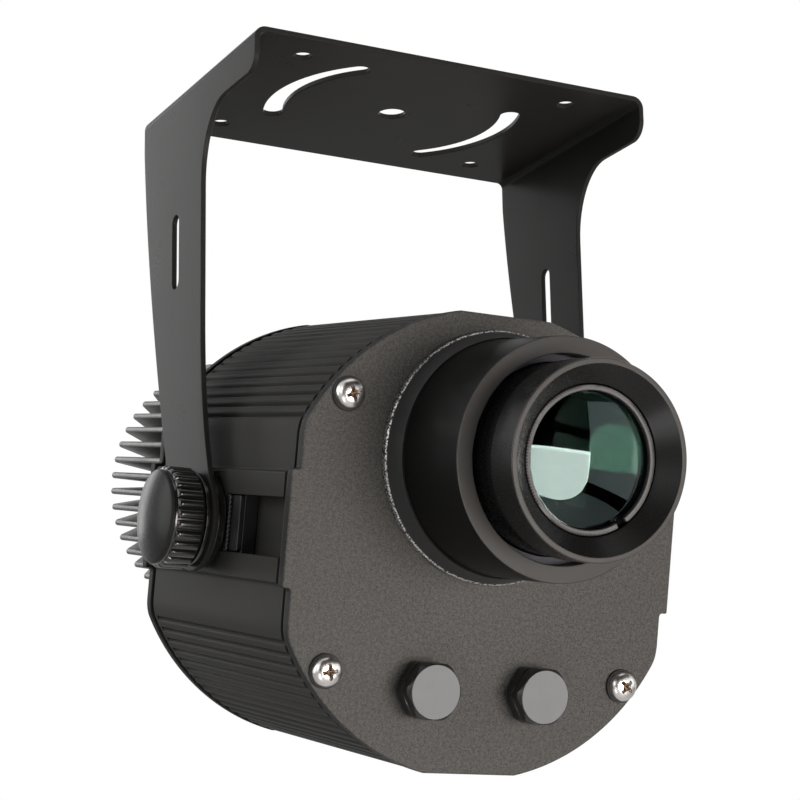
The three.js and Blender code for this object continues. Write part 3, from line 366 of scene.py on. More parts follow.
def face_outwards(work):
    """Turns a bmesh's faces outwards."""
    bmesh.ops.recalc_face_normals(work, faces=work.faces)


def finished_mesh(name, points, faces):
    """A mesh in metres, its doubles merged and its faces turned outwards."""
    mesh = bpy.data.meshes.new(name)
    mesh.from_pydata((points * MM).tolist(), [], faces)

    def merge(work):
        bmesh.ops.remove_doubles(work, verts=work.verts, dist=WELD)
        face_outwards(work)

    reworked(mesh, merge)
    return mesh


def quads(rows, columns, close_rows=True, close_columns=True):
    """The four corners of every cell of a grid of points, as point numbers."""
    row = np.arange(rows if close_rows else rows - 1)
    column = np.arange(columns if close_columns else columns - 1)
    i, j = np.meshgrid(row, column, indexing="ij")
    k, m = (i + 1) % rows, (j + 1) % columns
    cells = [i * columns + j, k * columns + j, k * columns + m, i * columns + m]
    return np.stack(cells, -1).reshape(-1, 4)


def grid_mesh(name, points, close_rows=True, close_columns=True):
    """A surface from an array of rows, columns and places."""
    rows, columns = points.shape[:2]
    faces = quads(rows, columns, close_rows, close_columns)
    return finished_mesh(name, points.reshape(-1, 3), faces.tolist())


def spun(along, radius, angle):
    """Points (along, r cos a, r sin a), a row of radii for each angle."""
    turn = angle[:, None]
    return np.stack(
        [np.broadcast_to(along, radius.shape), radius * np.cos(turn), radius * np.sin(turn)], -1)


def turned(profile, steps=96):
    """A profile of (radius, along) turned about an axis."""
    radius, along = profile.T
    return spun(along, np.broadcast_to(radius, (steps, len(along))), around(steps))


def hexagon(half_flats, angle):
    """Radius of a hexagon: half its flats over cos of the angle from a side's middle."""
    from_side = (angle + TURN / 12) % (TURN / 6) - TURN / 12
    return half_flats / np.cos(TURN / 12 - np.abs(from_side))


def along_y(points, centre):
    """(along, across, up) points about an axis of the head through (x, z)."""
    along, across, up = np.moveaxis(points, -1, 0)
    return in_pose(np.stack([across + centre[0], along, up + centre[1]], -1))


def along_x(points, sign):
    """(along, across, up) points about the pivot axis, out to one side."""
    along, across, up = np.moveaxis(points, -1, 0)
    return np.stack([sign * along, across, up], -1)


def extruded(loops, front, rear, edge, steps=4):
    """Outlines carried along an axis, as points (along, across, up) and faces.

    The outer outline runs anticlockwise and holes clockwise, so the material
    is on the left. Both ends are rounded: at angle a of a quarter turn a ring
    is inset by edge (1 - sin a), at edge (1 - cos a) from the end.
    """
    turn = np.linspace(0, math.pi / 2, steps)
    inset = edge * (1 - np.sin(turn))
    depth = edge * (1 - np.cos(turn))
    places = np.concatenate([front + depth, rear - depth[::-1]])
    insets = np.concatenate([inset, inset[::-1]])
    points, faces, start = [], [], 0
    first, last = [], []
    for loop in loops:
        flat = np.asarray(loop, float)
        flat = flat[distinct(flat)]
        ahead = np.roll(flat, -1, 0) - flat
        ahead /= np.linalg.norm(ahead, axis=1)[:, None]
        out = np.stack([ahead[:, 1], -ahead[:, 0]], -1)
        out_before = np.roll(out, 1, 0)
        joint = out + out_before
        joint /= np.maximum(1 + (out * out_before).sum(1), 0.35)[:, None]
        rings = flat[None] - joint[None] * insets[:, None, None]
        along = np.broadcast_to(places[:, None, None], rings.shape[:2] + (1,))
        points.append(np.concatenate([along, rings], -1).reshape(-1, 3))
        count = len(flat)
        faces += (quads(len(places), count, close_rows=False) + start).tolist()
        first.append((start, rings[0]))
        last.append((start + count * (len(places) - 1), rings[-1]))
        start += count * len(places)
    for ends in (first, last):
        numbers = np.concatenate([at + np.arange(len(ring)) for at, ring in ends])
        flat = [[Vector((x, y, 0)) for x, y in ring] for _, ring in ends]
        faces += [numbers[list(face)].tolist() for face in tessellate_polygon(flat)]
    return np.concatenate(points), faces


def linked(thing):
    """The object, linked to the scene."""
    bpy.context.scene.collection.objects.link(thing)
    return thing


def piece(name, mesh, body, look, node=None, slot=None, crease=35.0):
    """A smooth shaded object from a mesh, riding on a body of the frame."""
    thing = linked(bpy.data.objects.new(name, mesh))
    mesh.materials.append(finish(look))
    mesh.shade_smooth()
    mesh.set_sharp_from_angle(angle=math.radians(crease))
    shading = thing.modifiers.new("Even shading", "WEIGHTED_NORMAL")
    shading.keep_sharp = True
    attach(thing, body)
    if node:
        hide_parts(node)
    return thing


def shell(name, points, *described):
    """A piece from an array of rows, columns and places in the frame."""
    return piece(name, grid_mesh(name, points), *described)


def prism(name, loops, front, rear, edge, steps, *described):
    """A piece from outlines of x and z carried along the head."""
    points, faces = extruded(loops, front, rear, edge, steps)
    along, across, up = points.T
    mesh = finished_mesh(name, in_pose(np.stack([across, along, up], -1)), faces)
    return piece(name, mesh, *described)


def two_finishes(thing, look, chosen):
    """Gives a second finish to the faces whose middles, in the level head, are chosen."""
    mesh = thing.data
    mesh.materials.append(finish(look))
    middles = np.empty(len(mesh.polygons) * 3)
    mesh.polygons.foreach_get("center", middles)
    slots = np.empty(len(mesh.polygons), np.int32)
    mesh.polygons.foreach_get("material_index", slots)
    x, y, z = level(middles.reshape(-1, 3) / MM).T
    slots[chosen(x, y, z)] = len(mesh.materials) - 1
    mesh.polygons.foreach_set("material_index", slots)


def off_lens(x, z):
    """Distance from the lens's axis."""
    return np.hypot(x, z - LENS_RISE)


# Finishes --------------------------------------------------------------------


def added(tree, kind, settings, inputs, output=0):
    """One new node: its settings first, then the values or links of its sockets."""
    made = tree.nodes.new(kind)
    for key, value in settings.items():
        setattr(made, key, value)
    for key, value in inputs.items():
        if isinstance(value, Value):
            tree.links.new(value.socket, made.inputs[key])
        else:
            made.inputs[key].default_value = value
    return Value(tree, made.outputs[output])


def computed(operation, *operands):
    """A Math node over values and numbers."""
    tree = next(operand.tree for operand in operands if isinstance(operand, Value))
    return added(tree, "ShaderNodeMath", {"operation": operation}, dict(enumerate(operands)))


class Value:
    """A number that changes over a surface; its operators add Math nodes."""

    def __init__(self, tree, socket):
        self.tree = tree
        self.socket = socket

    def __add__(self, other):
        return computed("ADD", self, other)

    __radd__ = __add__

    def __sub__(self, other):
        return computed("SUBTRACT", self, other)

    def __rsub__(self, other):
        return computed("SUBTRACT", other, self)

    def __mul__(self, other):
        return computed("MULTIPLY", self, other)

    __rmul__ = __mul__

    def __pow__(self, other):
        return computed("POWER", self, other)


class Finish:
    """A procedural material on object coordinates, in millimetres."""

    def __init__(self, name, color, roughness, metallic=0.0, level_with_head=True, **constants):
        self.material = bpy.data.materials.new(name)
        self.material.use_nodes = True
        self.tree = self.material.node_tree
        self.shader = self.tree.nodes["Principled BSDF"]
        base = (*color, 1.0)
        constants.update(Base_Color=base, Roughness=roughness, Metallic=metallic)
        for socket, value in constants.items():
            self.shader.inputs[socket.replace("_", " ")].default_value = value
        self.material.diffuse_color = base
        coordinates = added(self.tree, "ShaderNodeTexCoord", {}, {}, "Object")
        pitch = math.atan2(BACK[2], BACK[1]) if level_with_head else 0.0
        turn_back = HEAD if level_with_head else np.eye(3)
        self.place = added(self.tree, "ShaderNodeMapping", {"vector_type": "POINT"}, {
            "Vector": coordinates,
            "Location": tuple(-(turn_back @ PIVOT)),
            "Rotation": (-pitch, 0.0, 0.0),
            "Scale": (1 / MM,) * 3,
        })

    def axes(self):
        """The place's x, y and z as three values."""
        split = added(self.tree, "ShaderNodeSeparateXYZ", {}, {"Vector": self.place})
        return [Value(self.tree, socket) for socket in split.socket.node.outputs]

    def noise(self, size, detail=2.0, stretch=(1.0, 1.0, 1.0)):
        """Soft noise between 0 and 1 with features of a size in millimetres."""
        scale = tuple(1 / (size * part) for part in stretch)
        stretched = added(
            self.tree, "ShaderNodeMapping", {"vector_type": "POINT"},
            {"Vector": self.place, "Scale": scale})
        return added(
            self.tree, "ShaderNodeTexNoise", {},
            {"Vector": stretched, "Scale": 1.0, "Detail": detail})

    def step(self, value, low, high):
        """0 below low, 1 above high, and a smooth step between."""
        return added(
            self.tree, "ShaderNodeMapRange", {"interpolation_type": "SMOOTHSTEP"},
            {"Value": value, "From Min": low, "From Max": high})

    def off_lens(self):
        """Distance from the lens's axis."""
        x, _, z = self.axes()
        return (x ** 2 + (z - LENS_RISE) ** 2) ** 0.5

    def feed(self, socket, value):
        """Links a value that changes over the surface to the shader."""
        self.tree.links.new(value.socket, self.shader.inputs[socket])

    def mix(self, factor, low, high):
        """A colour between two colours."""
        inputs = {0: factor}
        for socket, color in ((6, low), (7, high)):
            inputs[socket] = color if isinstance(color, Value) else (*color, 1.0)
        return added(self.tree, "ShaderNodeMix", {"data_type": "RGBA"}, inputs, output=2)

    def paint(self, factor, low, high):
        """Base colour between two colours."""
        self.feed("Base Color", self.mix(factor, low, high))

    def shade(self, factor, color, *shares):
        """Base colour between two shares of a colour."""
        low, high = (tuple(min(part * share, 1.0) for part in color) for share in shares)
        self.paint(factor, low, high)

    def vary_roughness(self, middle, *parts):
        """Roughness about a middle, from pairs of a noise and its weight."""
        total = sum_of((noise - 0.5) * weight for noise, weight in parts)
        self.feed("Roughness", total + middle)

    def bump(self, height, depth):
        """Relief of a depth in millimetres from a height between 0 and 1."""
        inputs = {"Height": height, "Distance": depth * MM, "Strength": 1.0}
        self.feed("Normal", added(self.tree, "ShaderNodeBump", {}, inputs))


def sum_of(values):
    """The values added up."""
    first, *others = values
    for value in others:
        first = first + value
    return first


def grey(shade, warmth=0.0):
    """A linear grey, a little warmer or cooler."""
    return (shade * (1 + warmth), shade, shade * (1 - warmth))


def powder_coat(name, color, roughness, peel, relief, level_with_head, specular, drawn=False):
    """Sprayed paint: fine peel in the relief and soft patches in the gloss."""
    coat = Finish(name, color, roughness, 0.0, level_with_head, Specular_IOR_Level=specular)
    patches = coat.noise(26.0, 3.0)
    fine = coat.noise(peel, 3.0, (1.0, 60.0, 1.0) if drawn else (1.0, 1.0, 1.0))
    coat.shade(patches * 0.5 + fine * 0.5, color, 0.88, 1.12)
    coat.vary_roughness(roughness, (patches, 0.12), (fine, 0.08))
    coat.bump(fine, relief)
    return coat.material


def speckled_paint(name, color, speck, specular):
    """Structured paint of the plates: a fine grain in colour and relief."""
    coat = Finish(name, color, 0.5, Specular_IOR_Level=specular)
    patches = coat.noise(34.0, 3.0)
    mottle = coat.step(coat.noise(0.55) * 0.65 + coat.noise(1.3) * 0.35, 0.36, 0.64)
    coat.shade(mottle, color, 1 - speck, 1 + speck)
    coat.feed("Roughness", mottle * 0.1 + (patches - 0.5) * 0.1 + 0.46)
    coat.bump(mottle, 0.035)
    return coat.material


def turned_black(name, color, roughness, pitch, relief, specular=0.14, worn_radius=None):
    """Black anodised metal with the fine rings that turning leaves."""
    black = Finish(name, color, roughness, Specular_IOR_Level=specular)
    radius = black.off_lens()
    cut = computed("SINE", (radius + black.axes()[1] * 0.7) * (TURN / pitch))
    fine = black.noise(0.8)
    black.vary_roughness(roughness, (black.noise(18.0), 0.1), (fine, 0.1))
    if worn_radius:
        chips = black.step(black.noise(0.7, 3.0), 0.4, 0.6)
        worn = black.step(radius, worn_radius, worn_radius + 0.25) * chips
        black.paint(worn, color, grey(0.42, 0.02))
        black.feed("Metallic", worn * 0.7)
    black.bump(cut * 0.5 + fine * 0.5, relief)
    return black.material


def moulded_plastic(name, color, roughness, grain, relief, level_with_head=False, specular=0.3):
    """Moulded plastic with a fine grain."""
    plastic = Finish(name, color, roughness, 0.0, level_with_head, Specular_IOR_Level=specular)
    fine = plastic.noise(grain, 3.0)
    patches = plastic.noise(9.0, 3.0)
    plastic.shade(patches, color, 0.85, 1.15)
    plastic.vary_roughness(roughness, (patches, 0.16), (fine, 0.1))
    plastic.bump(fine, relief)
    return plastic.material


def bare_metal(name, color, roughness, grain, relief, stretch=(1.0, 1.0, 1.0), metallic=1.0):
    """Metal with drawn or rolled lines and small marks."""
    metal = Finish(name, color, roughness, metallic)
    lines = metal.noise(grain, 3.0, stretch)
    patches = metal.noise(7.0, 3.0)
    metal.shade(patches, color, 0.82, 1.12)
    metal.vary_roughness(roughness, (lines, 0.2), (patches, 0.12))
    metal.bump(lines, relief)
    return metal.material


def flat_black(name, shade):
    """Matt black lining that swallows light."""
    lining = Finish(name, grey(shade), 0.9, Specular_IOR_Level=0.0)
    lining.shade(lining.noise(4.0), grey(shade), 0.6, 1.4)
    return lining.material


def notched_metal_painted_glints(name, dark, light, roughness):
    """Ring of metal with fine notches along its outer edge, sine of n times the angle, painted:
    dark rough gaps for their shade, light teeth for their glints.
    """
    metal = Finish(name, light, roughness, 0.5)
    x, _, z = metal.axes()
    angle = computed("ARCTAN2", z - LENS_RISE, x)
    grains = metal.noise(0.5, 3.0)
    notches = metal.step(computed("SINE", angle * RING_NOTCHES) * 0.5 + grains, 0.45, 0.75)
    rim = metal.step(metal.off_lens(), RING_MIDDLE, RING_MIDDLE + 0.6)
    patches = metal.step(metal.noise(9.0), 0.4, 0.6)
    # Painted glints and shade: in patches along the outer rim the gaps between notches are dark and
    # rough, the rest light and smoother.
    notch_light_and_shade = 1 - (1 - notches) * rim * patches
    metal.paint(notch_light_and_shade * (grains * 0.5 + 0.5), dark, light)
    metal.feed("Roughness", 0.75 - notch_light_and_shade * (0.75 - roughness))
    metal.bump(notch_light_and_shade, 0.08)
    return metal.material


def coated_glass(name, *coat):
    """Clear lens glass whose coat dims and colours what it reflects."""
    glass = Finish(
        name, (0.97, 1.0, 0.98), 0.0,
        Transmission_Weight=1.0, IOR=1.52, Specular_Tint=(*coat, 1.0))
    glass.paint(glass.noise(9.0), (0.95, 0.99, 0.96), (0.98, 1.0, 0.99))
    return glass.material


def nickel_screw(name):
    """Plated screw: bright metal, with painted shade down in its recess, which is browner and
    rougher.
    """
    screw = Finish(name, grey(0.48, 0.03), 0.3, 1.0)
    x, y, z = screw.axes()
    side, rise = SCREW_PLACE
    off_x, off_z = computed("ABSOLUTE", x) - side, computed("ABSOLUTE", z) - rise
    from_screw = (off_x ** 2 + off_z ** 2) ** 0.5
    stack = SCREW_HEAD_HEIGHT + WASHER_HEIGHT
    depth = computed("MINIMUM", y - (PLATE_FRONT - stack), (REAR_PLATE_REAR + stack) - y)
    # Painted shade: the recess is painted dark brown and made rougher.
    deep = screw.step(depth, 0.5, 1.4) * (1 - screw.step(from_screw, 2.0, 3.0))
    marks = screw.noise(1.2, 3.0)
    bright = screw.mix(marks, grey(0.38, 0.04), grey(0.56, 0.04))
    screw.paint(deep, bright, (0.1, 0.06, 0.035))
    screw.feed("Roughness", deep * 0.25 + (marks - 0.5) * 0.14 + 0.3)
    screw.bump(marks, 0.02)
    return screw.material


def soft_rubber(name, shade, roughness):
    """Dull black rubber with a little bloom."""
    rubber = Finish(name, grey(shade), roughness, Specular_IOR_Level=0.35)
    bloom = rubber.noise(2.5, 3.0)
    rubber.shade(bloom, grey(shade), 0.7, 1.4)
    rubber.vary_roughness(roughness, (bloom, 0.2))
    rubber.bump(bloom, 0.02)
    return rubber.material


def printed_board(name, color, pitch):
    """Circuit board: lacquer with faint tracks across it."""
    board = Finish(name, color, 0.4)
    lines = board.step(computed("SINE", board.axes()[0] * (TURN / pitch)), 0.55, 0.8)
    patches = board.noise(5.0)
    board.shade(lines * patches, color, 1.0, 1.8)
    board.feed("Roughness", patches * 0.2 + 0.3)
    board.bump(lines, 0.03)
    return board.material


# How each finish is made. A colour's name stands for a setting of the panel.
MAKERS = {
    "bracket coat": (
        powder_coat, "Bracket coat", "bracket_color", 0.3, 0.9, 0.012, False, 0.022),
    "housing coat": (
        powder_coat, "Housing coat", "housing_color", 0.46, 0.5, 0.012, True, 0.014, True),
    "plate coat": (speckled_paint, "Plate coat", "plate_color", 0.38, 0.1),
    # Painted shade: a darker copy of the plate coat for the plates' edges.
    "plate edge": (speckled_paint, "Plate edge", grey(0.013, 0.03), 0.2, 0.03),
    "collar black": (
        turned_black, "Collar black", grey(0.004, 0.02), 0.32, 0.35, 0.002, 0.05,
        COLLAR_FLANGE - 0.8),
    "barrel black": (turned_black, "Barrel black", grey(0.006, 0.02), 0.27, 0.9, 0.0015),
    # Painted light: lighter copies of the collar's black anodising for its front face and its cone.
    "collar face": (turned_black, "Collar face", grey(0.024, 0.04), 0.4, 0.35, 0.004),
    "cone face": (turned_black, "Cone face", grey(0.028), 0.4, 0.35, 0.004),
    # Painted reflection: the ledge in the collar's mouth is painted bluish grey.
    "ledge face": (turned_black, "Ledge face", (0.04, 0.042, 0.052), 0.4, 0.35, 0.004),
    # Painted light: a lighter copy of the barrel's black for its front rim.
    "rim face": (turned_black, "Rim face", grey(0.03, 0.05), 0.36, 0.3, 0.004),
    "bore black": (flat_black, "Bore black", 0.0025),
    "knob plastic": (moulded_plastic, "Knob plastic", grey(0.007), 0.2, 0.5, 0.008, False, 0.5),
    "dome plastic": (
        moulded_plastic, "Dome plastic", grey(0.014, 0.02), 0.27, 0.4, 0.006, False, 0.035),
    "cover plastic": (moulded_plastic, "Cover plastic", grey(0.012), 0.24, 0.6, 0.01, True),
    "cover face": (moulded_plastic, "Cover face", "cover_face_color", 0.55, 0.45, 0.03, True),
    "gear plastic": (moulded_plastic, "Gear plastic", (0.6, 0.58, 0.52), 0.45, 0.8, 0.01, True),
    "black plastic": (moulded_plastic, "Black plastic", grey(0.014), 0.42, 0.7, 0.02, True),
    "led yellow": (
        moulded_plastic, "Light source yellow", (0.72, 0.5, 0.08), 0.35, 0.5, 0.01, True),
    "rubber": (soft_rubber, "Rubber", 0.008, 0.7),
    "nickel": (nickel_screw, "Nickel plate"),
    "steel": (bare_metal, "Steel", grey(0.56, 0.02), 0.28, 0.6, 0.01),
    "edge steel": (bare_metal, "Edge steel", grey(0.16), 0.36, 0.6, 0.01),
    "dark steel": (
        bare_metal, "Blackened steel", grey(0.03), 0.42, 0.8, 0.01, (1.0, 1.0, 1.0), 0.5),
    "sink metal": (
        bare_metal, "Sink aluminium", "sink_color", 0.42, 0.9, 0.012, (0.4, 12.0, 0.4), 0.55),
    "brass": (bare_metal, "Brass", (0.6, 0.42, 0.18), 0.3, 0.7, 0.01),
    # Its dark and light greys paint the shade in the notches' gaps and the glints on their teeth.
    "ring metal": (notched_metal_painted_glints, "Ring metal", grey(0.01), grey(0.052), 0.5),
    "front coat glass": (coated_glass, "Front lens glass", 0.53, 0.72, 0.7),
    "back coat glass": (coated_glass, "Front lens back glass", 0.03, 0.16, 0.1),
    "rear coat glass": (coated_glass, "Rear lens glass", 0.03, 0.2, 0.12),
    "condenser glass": (coated_glass, "Condenser glass", 0.08, 0.1, 0.12),
    "board green": (printed_board, "Board green", (0.02, 0.12, 0.045), 2.2),
    "board white": (printed_board, "Board white", (0.5, 0.5, 0.47), 3.5),
}
FINISHES = {}


def finish(name):
    """The finish of a name, made once."""
    if name not in FINISHES:
        maker, label, *values = MAKERS[name]
        look = bpy.context.scene.projector_look
        values = [getattr(look, value)[:] if isinstance(value, str) else value for value in values]
        FINISHES[name] = maker(label, *values)
    return FINISHES[name]


# Bracket ---------------------------------------------------------------------


def curve(start, control, end, steps):
    """Points of a quadratic curve."""
    return between(*np.array([start, control, end]), np.linspace(0, 1, steps)[:, None])


def arm_edge():
    """The arm's edge from its front shoulder round the end to the rear."""
    half = BRACKET_DEPTH / 2
    top = -BEND_INSIDE - SHEET
    rise = PIVOT_DROP - BACK_KNEE[1]
    run = BACK_KNEE[0] - PIVOT_SETBACK
    tangent = math.atan2(rise, run) - math.acos(ARM_END / math.hypot(rise, run))
    quarter = math.pi / 2
    corner = arc(SHOULDER_CORNER, math.pi, math.pi + quarter, 16)
    corner += (SHOULDER_CORNER - half, SHOULDER_CORNER - SHOULDER_DROP)
    sweep = arc(1.0, quarter, 0.0, 16) * SWEEP
    sweep += (ARM_FRONT - SWEEP[0], -(SHOULDER_DROP + SWEEP[1]))
    end = arc(ARM_END, math.radians(NECK_ANGLE), TURN + tangent, 64)
    end += (PIVOT_SETBACK, -PIVOT_DROP)
    swell = curve((ARM_FRONT, -NECK_DROP), (ARM_FRONT, -SWELL_DROP), end[0], 24)
    back = curve(end[-1], (BACK_KNEE[0], -BACK_KNEE[1]), (half, -BACK_STRAIGHT), 32)
    return np.concatenate([[[-half, top]], corner, sweep, swell, end, back, [[half, top]]])


def slot_loop(radius, width, middle, sweep):
    """A slot that follows a circle, with round ends, drawn clockwise."""
    half = width / 2
    low, high = math.radians(middle - sweep / 2), math.radians(middle + sweep / 2)
    outer = arc(radius + half, low, high, 40)
    far = arc(half, high, high + math.pi, 14) + polar(radius, high)
    inner = arc(radius - half, high, low, 40)
    near = arc(half, low + math.pi, low + TURN, 14) + polar(radius, low)
    return np.concatenate([outer, far, inner, near])[::-1]


def bracket_sheet(edge_round):
    """The bracket as a flat strip with its holes, then bent to a U.

    The strip runs along s, y across it and t through its thickness. Past the
    flat top, at |s| = c, the bend turns it by a = (|s| - c) / m, with m the
    middle radius: x = c + (m + t) sin a, z = (m + t) cos a - outer radius.
    """
    outer = BEND_INSIDE + SHEET
    middle = BEND_INSIDE + SHEET / 2
    flat = BRACKET_SPAN / 2 - outer
    arm_start = flat + middle * math.pi / 2

    def to_strip(points):
        return np.stack([arm_start - outer - points[:, 1], points[:, 0]], -1)

    edge = to_strip(arm_edge())
    loops = [np.concatenate([edge, edge[::-1] * (-1, 1)]), circle(CENTRE_HOLE)]
    along, across = CORNER_HOLE_PLACE
    loops += [circle(CORNER_HOLE, 32, (x * along, y * across)) for x in (-1, 1) for y in (-1, 1)]
    radius, width, angle, sweep = CURVED_SLOT
    loops += [slot_loop(radius, width, angle + turn, sweep) for turn in (0, 180)]
    setback, top, low = ARM_SLOT
    half = ARM_SLOT_WIDTH / 2
    upper = arc(half, 0, math.pi, 14) + (setback, -top - half)
    lower = arc(half, math.pi, TURN, 14) + (setback, -low + half)
    pivot = circle(STUD_BORE, 48, (PIVOT_SETBACK, -PIVOT_DROP))
    for hole in (np.concatenate([upper, lower]), pivot):
        loop = to_strip(hole)
        clockwise = loop if signed_area(loop) < 0 else loop[::-1]
        loops += [clockwise, clockwise[::-1] * (-1, 1)]
    points, faces = extruded(loops, -SHEET / 2, SHEET / 2, edge_round)
    mesh = finished_mesh("bracket_sheet", points, faces)

    def divide_bends(work):
        for sign in (-1, 1):
            for place in np.linspace(flat, arm_start, BEND_STEPS + 1):
                bmesh.ops.bisect_plane(
                    work, geom=work.verts[:] + work.edges[:] + work.faces[:], dist=WELD,
                    plane_co=(0, sign * place * MM, 0), plane_no=(0, 1, 0))
        bmesh.ops.triangulate(work, faces=[face for face in work.faces if len(face.verts) > 4])

    reworked(mesh, divide_bends)
    t, s, y = mesh_points(mesh).T
    reach = np.abs(s)
    turn = np.clip((reach - flat) / middle, 0, math.pi / 2)
    past = np.maximum(reach - arm_start, 0)
    x = np.minimum(reach, flat) + (middle + t) * np.sin(turn)
    z = (middle + t) * np.cos(turn) - outer - past
    bent = np.stack([np.sign(s) * x, y, z], -1) * MM
    mesh.vertices.foreach_set("co", bent.ravel())
    reworked(mesh, face_outwards)
    return mesh


# Knobs and rail fittings -----------------------------------------------------


def knob_flutes(foot, length, flutes):
    """Knob rim with raised round bars.

    With u the distance from a bar's middle over half its width, the bar
    stands b = (1 - u^2.2)^(1/2.2) high, and at its ends that height falls
    off as a quarter circle.
    """
    steps = flutes * 14
    share = (np.arange(steps) * flutes / steps) % 1.0
    off_middle = np.minimum(np.abs(2 * share - 1) / KNOB_BAR, 1)
    bar = (1 - off_middle ** 2.2) ** (1 / 2.2)
    foot_end = KNOB_END * KNOB_FOOT_END
    start = KNOB_BACK + foot_end
    end = length - KNOB_BACK - KNOB_END
    along = np.concatenate([
        KNOB_BACK + foot_end * (1 - np.cos(np.linspace(0, math.pi / 2, 7))),
        np.linspace(start, end, 5)[1:-1],
        end + KNOB_END * np.sin(np.linspace(0, math.pi / 2, 12)),
    ])
    low = np.clip((start - along) / foot_end, 0, 1)
    high = np.clip((along - end) / KNOB_END, 0, 1)
    fall = np.sqrt(np.clip(1 - np.maximum(low, high) ** 2, 0, 1))
    foot_profile = np.array([
        [0, 0], [STUD_RADIUS, 0], [KNOB_VALLEY - 0.9, 0], [KNOB_VALLEY - 0.25, 0.25],
        [KNOB_VALLEY, KNOB_BACK * 0.9],
    ])
    rim_profile = np.array([
        [KNOB_VALLEY, length - 0.4], [KNOB_VALLEY - 0.1, length - 0.12],
        [KNOB_VALLEY - 0.4, length], [0, length],
    ])
    radius = np.concatenate([
        np.broadcast_to(foot_profile[:, 0], (steps, len(foot_profile))),
        KNOB_VALLEY + KNOB_DEPTH * bar[:, None] * fall,
        np.broadcast_to(rim_profile[:, 0], (steps, len(rim_profile))),
    ], 1)
    place = foot + np.concatenate([foot_profile[:, 1], along, rim_profile[:, 1]])
    return spun(place, radius, around(steps))


def dome_profile(foot, edge, top, radius, rim=0.7):
    """Cap with a spherical dome: z = top - R + sqrt(R^2 - r^2), rounded at its rim."""
    rise = top - edge
    sphere = (radius ** 2 + rise ** 2) / (2 * rise)
    r = np.linspace(0, radius - rim * 0.5, 24)[::-1]
    dome = np.stack([r, top - sphere + np.sqrt(sphere ** 2 - r ** 2)], -1)
    side = [[0, foot], [radius - 0.2, foot], [radius, foot + 0.2],
            [radius, edge - rim], [radius - 0.06, edge - rim * 0.45]]
    return np.concatenate([side, dome])


def threaded(start, end, radius, pitch, depth):
    """Screw thread: r = R - depth |2 frac(a / pitch - angle) - 1| along the shank."""
    angle = around(24)
    along = np.linspace(start, end, int(abs(end - start) / pitch * 8) + 2)
    saw = np.abs(2 * ((along / pitch - angle[:, None] / TURN) % 1.0) - 1)
    run_out = np.clip(np.minimum(along - start, end - along) / 0.8, 0, 1)
    wall = radius - depth * (saw * run_out + (1 - run_out))
    radii = np.pad(wall, ((0, 0), (1, 1)))
    return spun(np.concatenate([[start], along, [end]]), radii, angle)


def ring_profile(inner, outer, start, end, edge):
    """Section of a flat ring with rounded edges."""
    return rounded([[inner, start], [outer, start], [outer, end], [inner, end]], edge)


def x_span(name):
    """Nearest and furthest distance of a node from the middle plane."""
    low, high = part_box(name)
    return [end / MM for end in sorted((abs(low.x), abs(high.x)))]


def stepped_block(floor, face):
    """Slide block: a wide foot behind the rail's lips, and a stem between them."""
    half = BLOCK_LENGTH / 2
    points, faces = np.empty((0, 3)), []
    for width, low, high in ((RAIL_FOOT_HALF, floor, LIP_INNER), (RAIL_STEM_HALF, LIP_INNER, face)):
        box = [[-half, -width], [half, -width], [half, width], [-half, width]]
        made, made_faces = extruded([rounded(box, 0.8), circle(STUD_BORE)], low, high, 0.3)
        faces += [[corner + len(points) for corner in part] for part in made_faces]
        points = np.concatenate([points, made])
    return points, faces


def toothed_plate(start, end):
    """Lock plate: a rectangle with a row of teeth at one end."""
    half = RAIL_STEM_HALF
    pitch = half * 2 / LOCK_TEETH
    valleys = np.stack([np.full(LOCK_TEETH, -LOCK_END), half - pitch * np.arange(LOCK_TEETH)], -1)
    teeth = np.stack([valleys, valleys - pitch / 2], 1).reshape(-1, 2)
    outline = np.concatenate([[[LOCK_END, -half], [LOCK_END, half]], teeth, [[-LOCK_END, -half]]])
    return extruded([rounded(outline, 0.2, 4), circle(STUD_BORE)], start, end, 0.15, 3)


# Housing and plates ----------------------------------------------------------


def soft_corner(angle, radius, low):
    """Radius of the case's corner, softened where it meets the side.

    r is the smooth least of the circle and the side: min(a, b) - h^2 k / 4,
    with h = max(k - |a - b|, 0) / k. The corner with the top stays sharp.
    """
    side = radius * math.cos(low) / np.cos(angle)
    near = np.maximum(SOFT_DEPTH - np.abs(radius - side), 0) / SOFT_DEPTH
    return np.minimum(radius, side) - near ** 2 * SOFT_DEPTH / 4


def corner_arc(radius, low, high):
    """The plain corner of the case."""
    angle = np.linspace(low - SOFT_SWEEP, high, 80)
    return polar(soft_corner(angle, radius, low), angle)


def ribbed_arc(radius, low, high):
    """Ribbed corner: r = R - depth g, with g = ((1 + cos 2 pi t) / 2)^p.

    t counts ribs from the first one, and p sets how narrow the grooves are.
    """
    sizes = bpy.context.scene.projector_sizes
    start = math.asin(RIB_START / radius)
    t = np.linspace(0, RIBS, RIBS * RIB_STEPS + 1)
    groove = ((1 + np.cos(TURN * t)) / 2) ** sizes.groove_sharpness
    ribbed = (t > 0.5) * (t < RIBS - 0.5)
    depth = (sizes.rib_depth / MM * groove + RIB_LEAN * (0.5 - t % 1.0)) * ribbed
    angle = start + (high - start) * t / RIBS
    ribs = polar(soft_corner(angle, radius, low) - depth, angle)
    before = np.linspace(low - SOFT_SWEEP, start, 12)[:-1]
    return np.concatenate([polar(soft_corner(before, radius, low), before), ribs])


